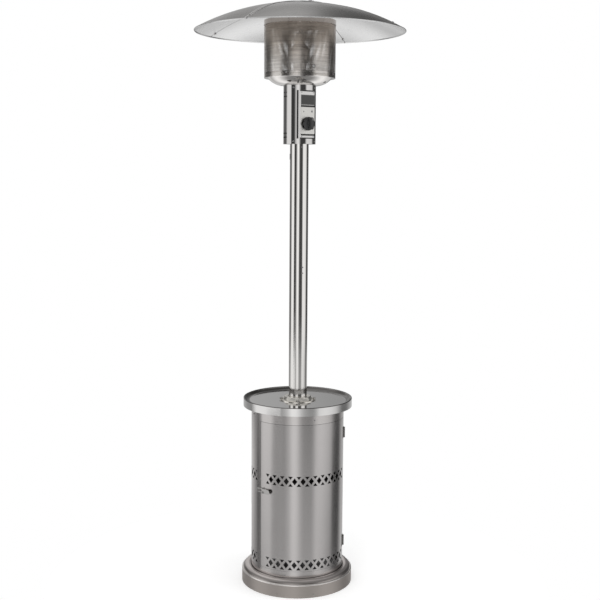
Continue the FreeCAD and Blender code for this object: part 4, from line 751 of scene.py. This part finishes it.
nodeFinish = {
    "baseSteel": ["base_cover"],
    "housingSteel": ["housing_shell", "housing_collar"],
    "doorSteel": ["door_panel"],
    "tableSteel": ["table_top"],
    "latchSteel": ["latch_base", "latch_lever", "latch_bail", "latch_keeper"],
    "hingeDark": ["door_hinge_leaves", "frame_hinge_leaves", "hinge_pins", "screen_eyelet"],
    "flangeSteel": ["post_flange"],
    "boltSteel": ["flange_bolts"],
    "bowlSteel": ["burner_bowl"],
    "ringSteel": ["screen_ring"],
    "hoodAluminium": ["hood_petal_1", "hood_petal_2", "hood_petal_3", "hood_petal_4"],
    "capAluminium": ["hood_cap"],
    "postSteel": ["lower_post", "upper_post"],
    "headSteel": ["head_bottom_cap", "head_shell", "head_top_cap"],
    "panelSteel": ["control_panel"],
    "dialAluminium": ["dial_plate"],
    "darkPlate": ["label_plate"],
    "zinc": ["base_pan", "wheel_bracket", "wheel_axle", "axle_caps", "frame_bolts", "support_leg_left",
             "support_leg_right", "support_leg_rear", "support_plate", "post_sleeve",
             "hood_studs", "hood_screws", "pan_screws"],
    "wheelPlastic": ["wheel_left", "wheel_right"],
    "blackPlastic": ["control_knob", "tilt_switch"],
    "blackRubber": ["post_grommet"],
    "castAluminium": ["valve_body", "valve_stem", "stem_collar", "gas_tube"],
    "brass": ["valve_inlet"],
    "burnerSteel": ["burner_tube", "burner_head", "pilot_bracket", "pilot_rods"],
    "emitterSteel": ["emitter_plate"],
    "screenSteel": ["burner_screen"],
}

for finishName, nodeNames in nodeFinish.items():
    for nodeName in nodeNames:
        for slot in nodes[nodeName].material_slots:
            slot.material = finish[finishName]
dressed = {nodeName for nodeNames in nodeFinish.values() for nodeName in nodeNames}
print("finishes given to", len(dressed), "of", len(nodes), "nodes")


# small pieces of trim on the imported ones
def makePiece(name, board, finishName, body):
    bmesh.ops.recalc_face_normals(board, faces=board.faces)
    mesh = bpy.data.meshes.new(name)
    board.to_mesh(mesh)
    board.free()
    piece = bpy.data.objects.new(name, mesh)
    scene.collection.objects.link(piece)
    mesh.materials.append(finish[finishName])
    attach(piece, body)


def facing(turn):
    # from millimetres across, outwards and up to metres in the frame, turned round the post
    outwards = Matrix.Scale(-1, 4, (0, 1, 0))
    return Matrix.Rotation(math.radians(turn), 4, "Z") @ Matrix.Scale(0.001, 4) @ outwards


def outwardsAt(turn):
    return Vector((math.sin(math.radians(turn)), -math.cos(math.radians(turn)), 0))


def addLoft(board, rings, closed=False):
    # skins rings of points that have the same number of corners, then caps both ends or joins them
    rows = [[board.verts.new(corner) for corner in ring] for ring in rings]
    count = len(rows[0])
    pairs = list(zip(rows, rows[1:])) + ([(rows[-1], rows[0])] if closed else [])
    for first, second in pairs:
        for number in range(count):
            after = (number + 1) % count
            board.faces.new((first[number], first[after], second[after], second[number]))
    if not closed:
        board.faces.new(rows[0])
        board.faces.new(rows[-1])


# the control panel, in millimetres and in degrees round the post
panel = {
    "turn": 16.5,
    "face": 56.269,          # distance of the panel's face from the axis
    "plateFace": 57.069,
    "bottom": 1768.0,
    "top": 1951.0,
    "knobHeight": 1825.0,
    "plateHalfWidth": 31.2,
    "headRadius": 62.75,
    "lift": 0.02,            # air under what lies on the panel
}
panelPlace = facing(panel["turn"])


def addSlab(board, outline, low, high, bevel):
    # a flat shape raised off the panel, with its upper edge eased
    middle = [sum(axis) / len(outline) for axis in zip(*outline)]

    def row(height, shrink):
        points = []
        for across, up in outline:
            away = Vector((across - middle[0], up - middle[1]))
            away *= max(0.0, 1 - shrink / max(away.length, 0.001))
            points.append(panelPlace @ Vector((middle[0] + away.x, height, middle[1] + away.y)))
        return points

    addLoft(board, [row(low, 0), row(high - bevel, 0), row(high, bevel)])


def addStrip(board, left, right, low, high, back, front, bevel):
    addSlab(board, [(left, low), (right, low), (right, high), (left, high)], back, front, bevel)


# black rubber strips round the panel, set where its edges fall in shade, as painted shade
edgeShade = {
    "turns": (38.9, 43.8),   # degrees from the middle of the panel
    "halfWidth": 35.2,
    "height": 4.2,
    "proud": 1.0,
    "edge": 0.05,            # how far the rounded strips' edges stand up from the head
    "sunk": 0.4,             # how far they reach into it
    "steps": 6,
    "endGap": 0.1,
    "sideGap": 0.3,          # from the plates to the strip beside them
    "bevel": 0.3,
}


def makeEdgeShade():
    # rubber edging round the panel as painted shade for its shaded edges: two strips along the head and three
    # on the panel
    board = bmesh.new()
    bottom, top = panel["bottom"] + edgeShade["endGap"], panel["top"] - edgeShade["endGap"]
    first, last = edgeShade["turns"]
    for side in (-1, 1):
        corners = []
        for step in range(edgeShade["steps"] + 1):
            share = step / edgeShade["steps"]
            proud = edgeShade["proud"] * math.sin(math.pi * share) ** 0.5
            reach = panel["headRadius"] + edgeShade["edge"] + proud
            corners.append((side * (first + (last - first) * share), reach))
        corners += [(side * turn, panel["headRadius"] - edgeShade["sunk"]) for turn in (last, first)]
        section = [(reach * math.sin(math.radians(turn)), reach * math.cos(math.radians(turn)))
                   for turn, reach in corners]
        ends = [[panelPlace @ Vector((x, y, height)) for x, y in section] for height in (bottom, top)]
        addLoft(board, ends)
    half, tall = edgeShade["halfWidth"], edgeShade["height"]
    back, front = panel["face"] + panel["lift"], panel["face"] + edgeShade["proud"]
    sides = [(-half, half, bottom, bottom + tall), (-half, half, top - tall, top),
             (panel["plateHalfWidth"] + edgeShade["sideGap"], half, bottom + tall, top - tall)]
    for left, right, low, high in sides:
        addStrip(board, left, right, low, high, back, front, edgeShade["bevel"])
    makePiece("panelEdgeShade", board, "blackRubber", "heater")


strips = {
    "spans": [(1887.6, 1894.6), (1779.8, 1786.0)],   # heights of the upper and the lower one
    "proud": 1.1,
    "bevel": 0.4,
}


def makeStrips():
    # dark strips across the panel, above the dial plate and below it
    board = bmesh.new()
    half = panel["plateHalfWidth"]
    back, front = panel["face"] + panel["lift"], panel["face"] + strips["proud"]
    for low, high in strips["spans"]:
        addStrip(board, -half, half, low, high, back, front, strips["bevel"])
    makePiece("panelStrips", board, "blackRubber", "heater")


dial = {
    "ticks": 9,
    "sweep": 240,            # degrees from off to full
    "inner": 27.4,
    "outer": 30.2,
    "thick": 0.7,
    "ink": (0.01, 0.10),     # where the ink begins and ends above the plate
    "bevel": 0.02,
    "flame": [(0, 12), (1.9, 8.6), (3.4, 5.6), (3.7, 3.0), (2.6, 0.8), (0, 0), (-2.6, 0.8), (-3.7, 3.0),
              (-3.2, 5.2), (-1.9, 6.6), (-1.2, 9.0)],
    "flameHeight": 1868,
    "flames": [(-19, 0.55), (19, 0.9)],   # across, and their sizes
}


def makeDialMarks():
    # ticks round the knob, with a small and a large flame over them
    board = bmesh.new()
    low, high = (panel["plateFace"] + depth for depth in dial["ink"])

    def spot(angle, reach):
        turn = math.radians(angle)
        return reach * math.sin(turn), panel["knobHeight"] + reach * math.cos(turn)

    for number in range(dial["ticks"]):
        angle = -dial["sweep"] / 2 + dial["sweep"] * number / (dial["ticks"] - 1)
        start, end = Vector(spot(angle, dial["inner"])), Vector(spot(angle, dial["outer"]))
        side = Vector((start.y - end.y, end.x - start.x)).normalized() * dial["thick"] / 2
        outline = [start - side, end - side, end + side, start + side]
        addSlab(board, outline, low, high, dial["bevel"])
    for shift, size in dial["flames"]:
        outline = [(shift + across * size, dial["flameHeight"] + up * size) for across, up in dial["flame"]]
        addSlab(board, outline, low, high, dial["bevel"])
    makePiece("dialMarks", board, "printInk", "heater")


border = {
    "inset": 0.8,
    "bottom": 1896.8,
    "top": 1933.2,
    "section": [(0, 0), (0.25, 0.25), (0.75, 0.25), (1.0, 0)],   # inwards along the plate, and off it
}


def makePlateBorder():
    # fine raised edge round the blank plate
    board = bmesh.new()
    half, low, high = panel["plateHalfWidth"] - border["inset"], border["bottom"], border["top"]
    rings = []
    for side, atTop in ((-1, False), (1, False), (1, True), (-1, True)):
        ring = []
        for inset, lift in border["section"]:
            height = high - inset if atTop else low + inset
            ring.append(panelPlace @ Vector((side * (half - inset), panel["plateFace"] + lift, height)))
        rings.append(ring)
    addLoft(board, rings, closed=True)
    makePiece("plateBorder", board, "printGrey", "heater")


pointer = {
    "width": 1.5,
    "length": 9.0,
    "top": 20.5,             # above the knob's middle
    "sunk": 0.3,
    "proud": 0.05,
    "bevel": 0.03,
}


def reachOf(nodeName, turn):
    # how far a node reaches out from the post's axis in one direction, in millimetres
    outwards = outwardsAt(turn)
    return 1000 * max(vertex.co.dot(outwards) for vertex in nodes[nodeName].data.vertices)


def makeKnobLine():
    # plain pointer let into the top of the grip
    board = bmesh.new()
    half = pointer["width"] / 2
    top = panel["knobHeight"] + pointer["top"]
    front = reachOf("control_knob", panel["turn"])
    back, front = front - pointer["sunk"], front + pointer["proud"]
    addStrip(board, -half, half, top - pointer["length"], top, back, front, pointer["bevel"])
    makePiece("knobLine", board, "printGrey", "knob")


# crossed recesses in the small screws, drawn as dark crosses of painted shade, in metres
recess = {
    "long": 0.62,            # shares of the head's radius
    "thin": 0.14,
    "deep": 0.0003,
    "proud": 0.00003,
    "weld": 0.000005,        # points closer than this are one
    "flat": 0.00002,         # points this close to the top belong to the head's flat
    "hoodFrom": 2.17,
    "capRadius": 0.12,       # nearer to the axis the hood's screws stand upright
    "under": 0.0008,         # what lies this far inside the dome is hidden under the hood
}
domeCentre = Vector((0, 0, dome["centre"]))


def middleOf(points):
    return sum(points, Vector()) / len(points)


def loosePieces(nodeName):
    # the points of every separate solid in a node, walked in the mesh's own order so that each run
    # gives the same numbers
    board = bmesh.new()
    board.from_mesh(nodes[nodeName].data)
    bmesh.ops.remove_doubles(board, verts=board.verts, dist=recess["weld"])
    visited = set()
    found = []
    for start in board.verts:
        if start in visited:
            continue
        visited.add(start)
        patch, queue = [], [start]
        while queue:
            vertex = queue.pop()
            patch.append(vertex.co.copy())
            for edge in vertex.link_edges:
                other = edge.other_vert(vertex)
                if other not in visited:
                    visited.add(other)
                    queue.append(other)
        found.append(patch)
    board.free()
    return sorted(found, key=lambda patch: tuple(round(value, 4) for value in middleOf(patch)))


def screwAxis(middle):
    # square to the dome on the hood, to the panel on the head, and to the post elsewhere
    if middle.z > recess["hoodFrom"]:
        upright = middle.xy.length <= recess["capRadius"]
        return Vector((0, 0, 1)) if upright else (middle - domeCentre).normalized()
    if panel["bottom"] < middle.z * 1000 < panel["top"]:
        return outwardsAt(panel["turn"])
    return Vector((middle.x, middle.y, 0)).normalized()


def makeScrewRecessShade():
    # a dark cross of painted shade in the middle of every small screw head that can be seen, standing in for
    # its crossed recess
    board = bmesh.new()
    for patch in loosePieces("pan_screws") + loosePieces("hood_screws"):
        middle = middleOf(patch)
        buried = (middle - domeCentre).length < dome["radius"] - recess["under"]
        if middle.z > recess["hoodFrom"] and buried:
            continue
        axis = screwAxis(middle)
        reach = max(point.dot(axis) for point in patch)
        flat = [point for point in patch if point.dot(axis) > reach - recess["flat"]]
        centre = middleOf(flat)
        radius = max((point - centre).length for point in flat)
        place = Matrix.Translation(centre) @ axis.to_track_quat("Z", "Y").to_matrix().to_4x4()
        long, thin = radius * recess["long"], radius * recess["thin"]
        cross = [(thin, thin), (long, thin), (long, -thin), (thin, -thin), (thin, -long), (-thin, -long),
                 (-thin, -thin), (-long, -thin), (-long, thin), (-thin, thin), (-thin, long), (thin, long)]
        ends = (-recess["deep"], recess["proud"])
        addLoft(board, [[place @ Vector((x, y, height)) for x, y in cross] for height in ends])
    makePiece("screwRecessShade", board, "recess", "heater")


# the nuts over the hood's cap, in millimetres
wing = {
    "nuts": 3,
    "circle": 75.0,
    "turn": 15.6,
    "base": 2278.0,
    "twist": 25,             # degrees from one nut to the next
    "thick": 1.8,
    "outline": [(3.6, 0.0), (6.0, 0.2), (8.6, 1.6), (10.6, 3.6), (11.2, 5.6), (10.2, 6.9), (8.6, 6.6),
                (6.8, 5.0), (5.4, 4.2), (3.6, 4.0)],
    "middle": (7, 3.4),
    "layers": [(-0.5, 0.92), (-0.3, 1.0), (0.3, 1.0), (0.5, 0.92)],   # share of thick, and size
}


def makeWings():
    # two finger tabs on each nut
    board = bmesh.new()
    middleX, middleZ = wing["middle"]
    for nut in range(wing["nuts"]):
        around = Matrix.Rotation(math.radians(wing["turn"] + 360 / wing["nuts"] * nut), 4, "Z")
        nutPlace = around @ Matrix.Translation((0, -wing["circle"] / 1000, wing["base"] / 1000))
        for half in (0, 180):
            turned = Matrix.Rotation(math.radians(half + wing["twist"] * nut), 4, "Z")
            place = nutPlace @ turned @ Matrix.Scale(0.001, 4)
            layers = []
            for share, size in wing["layers"]:
                depth = share * wing["thick"]
                corners = [(middleX + (x - middleX) * size, middleZ + (z - middleZ) * size)
                           for x, z in wing["outline"]]
                layers.append([place @ Vector((x, depth, z)) for x, z in corners])
            addLoft(board, layers)
    makePiece("wingTabs", board, "zinc", "heater")


makeEdgeShade()
makeStrips()
makeDialMarks()
makePlateBorder()
makeKnobLine()
makeScrewRecessShade()
makeWings()
print("small pieces made")

print("scene made")
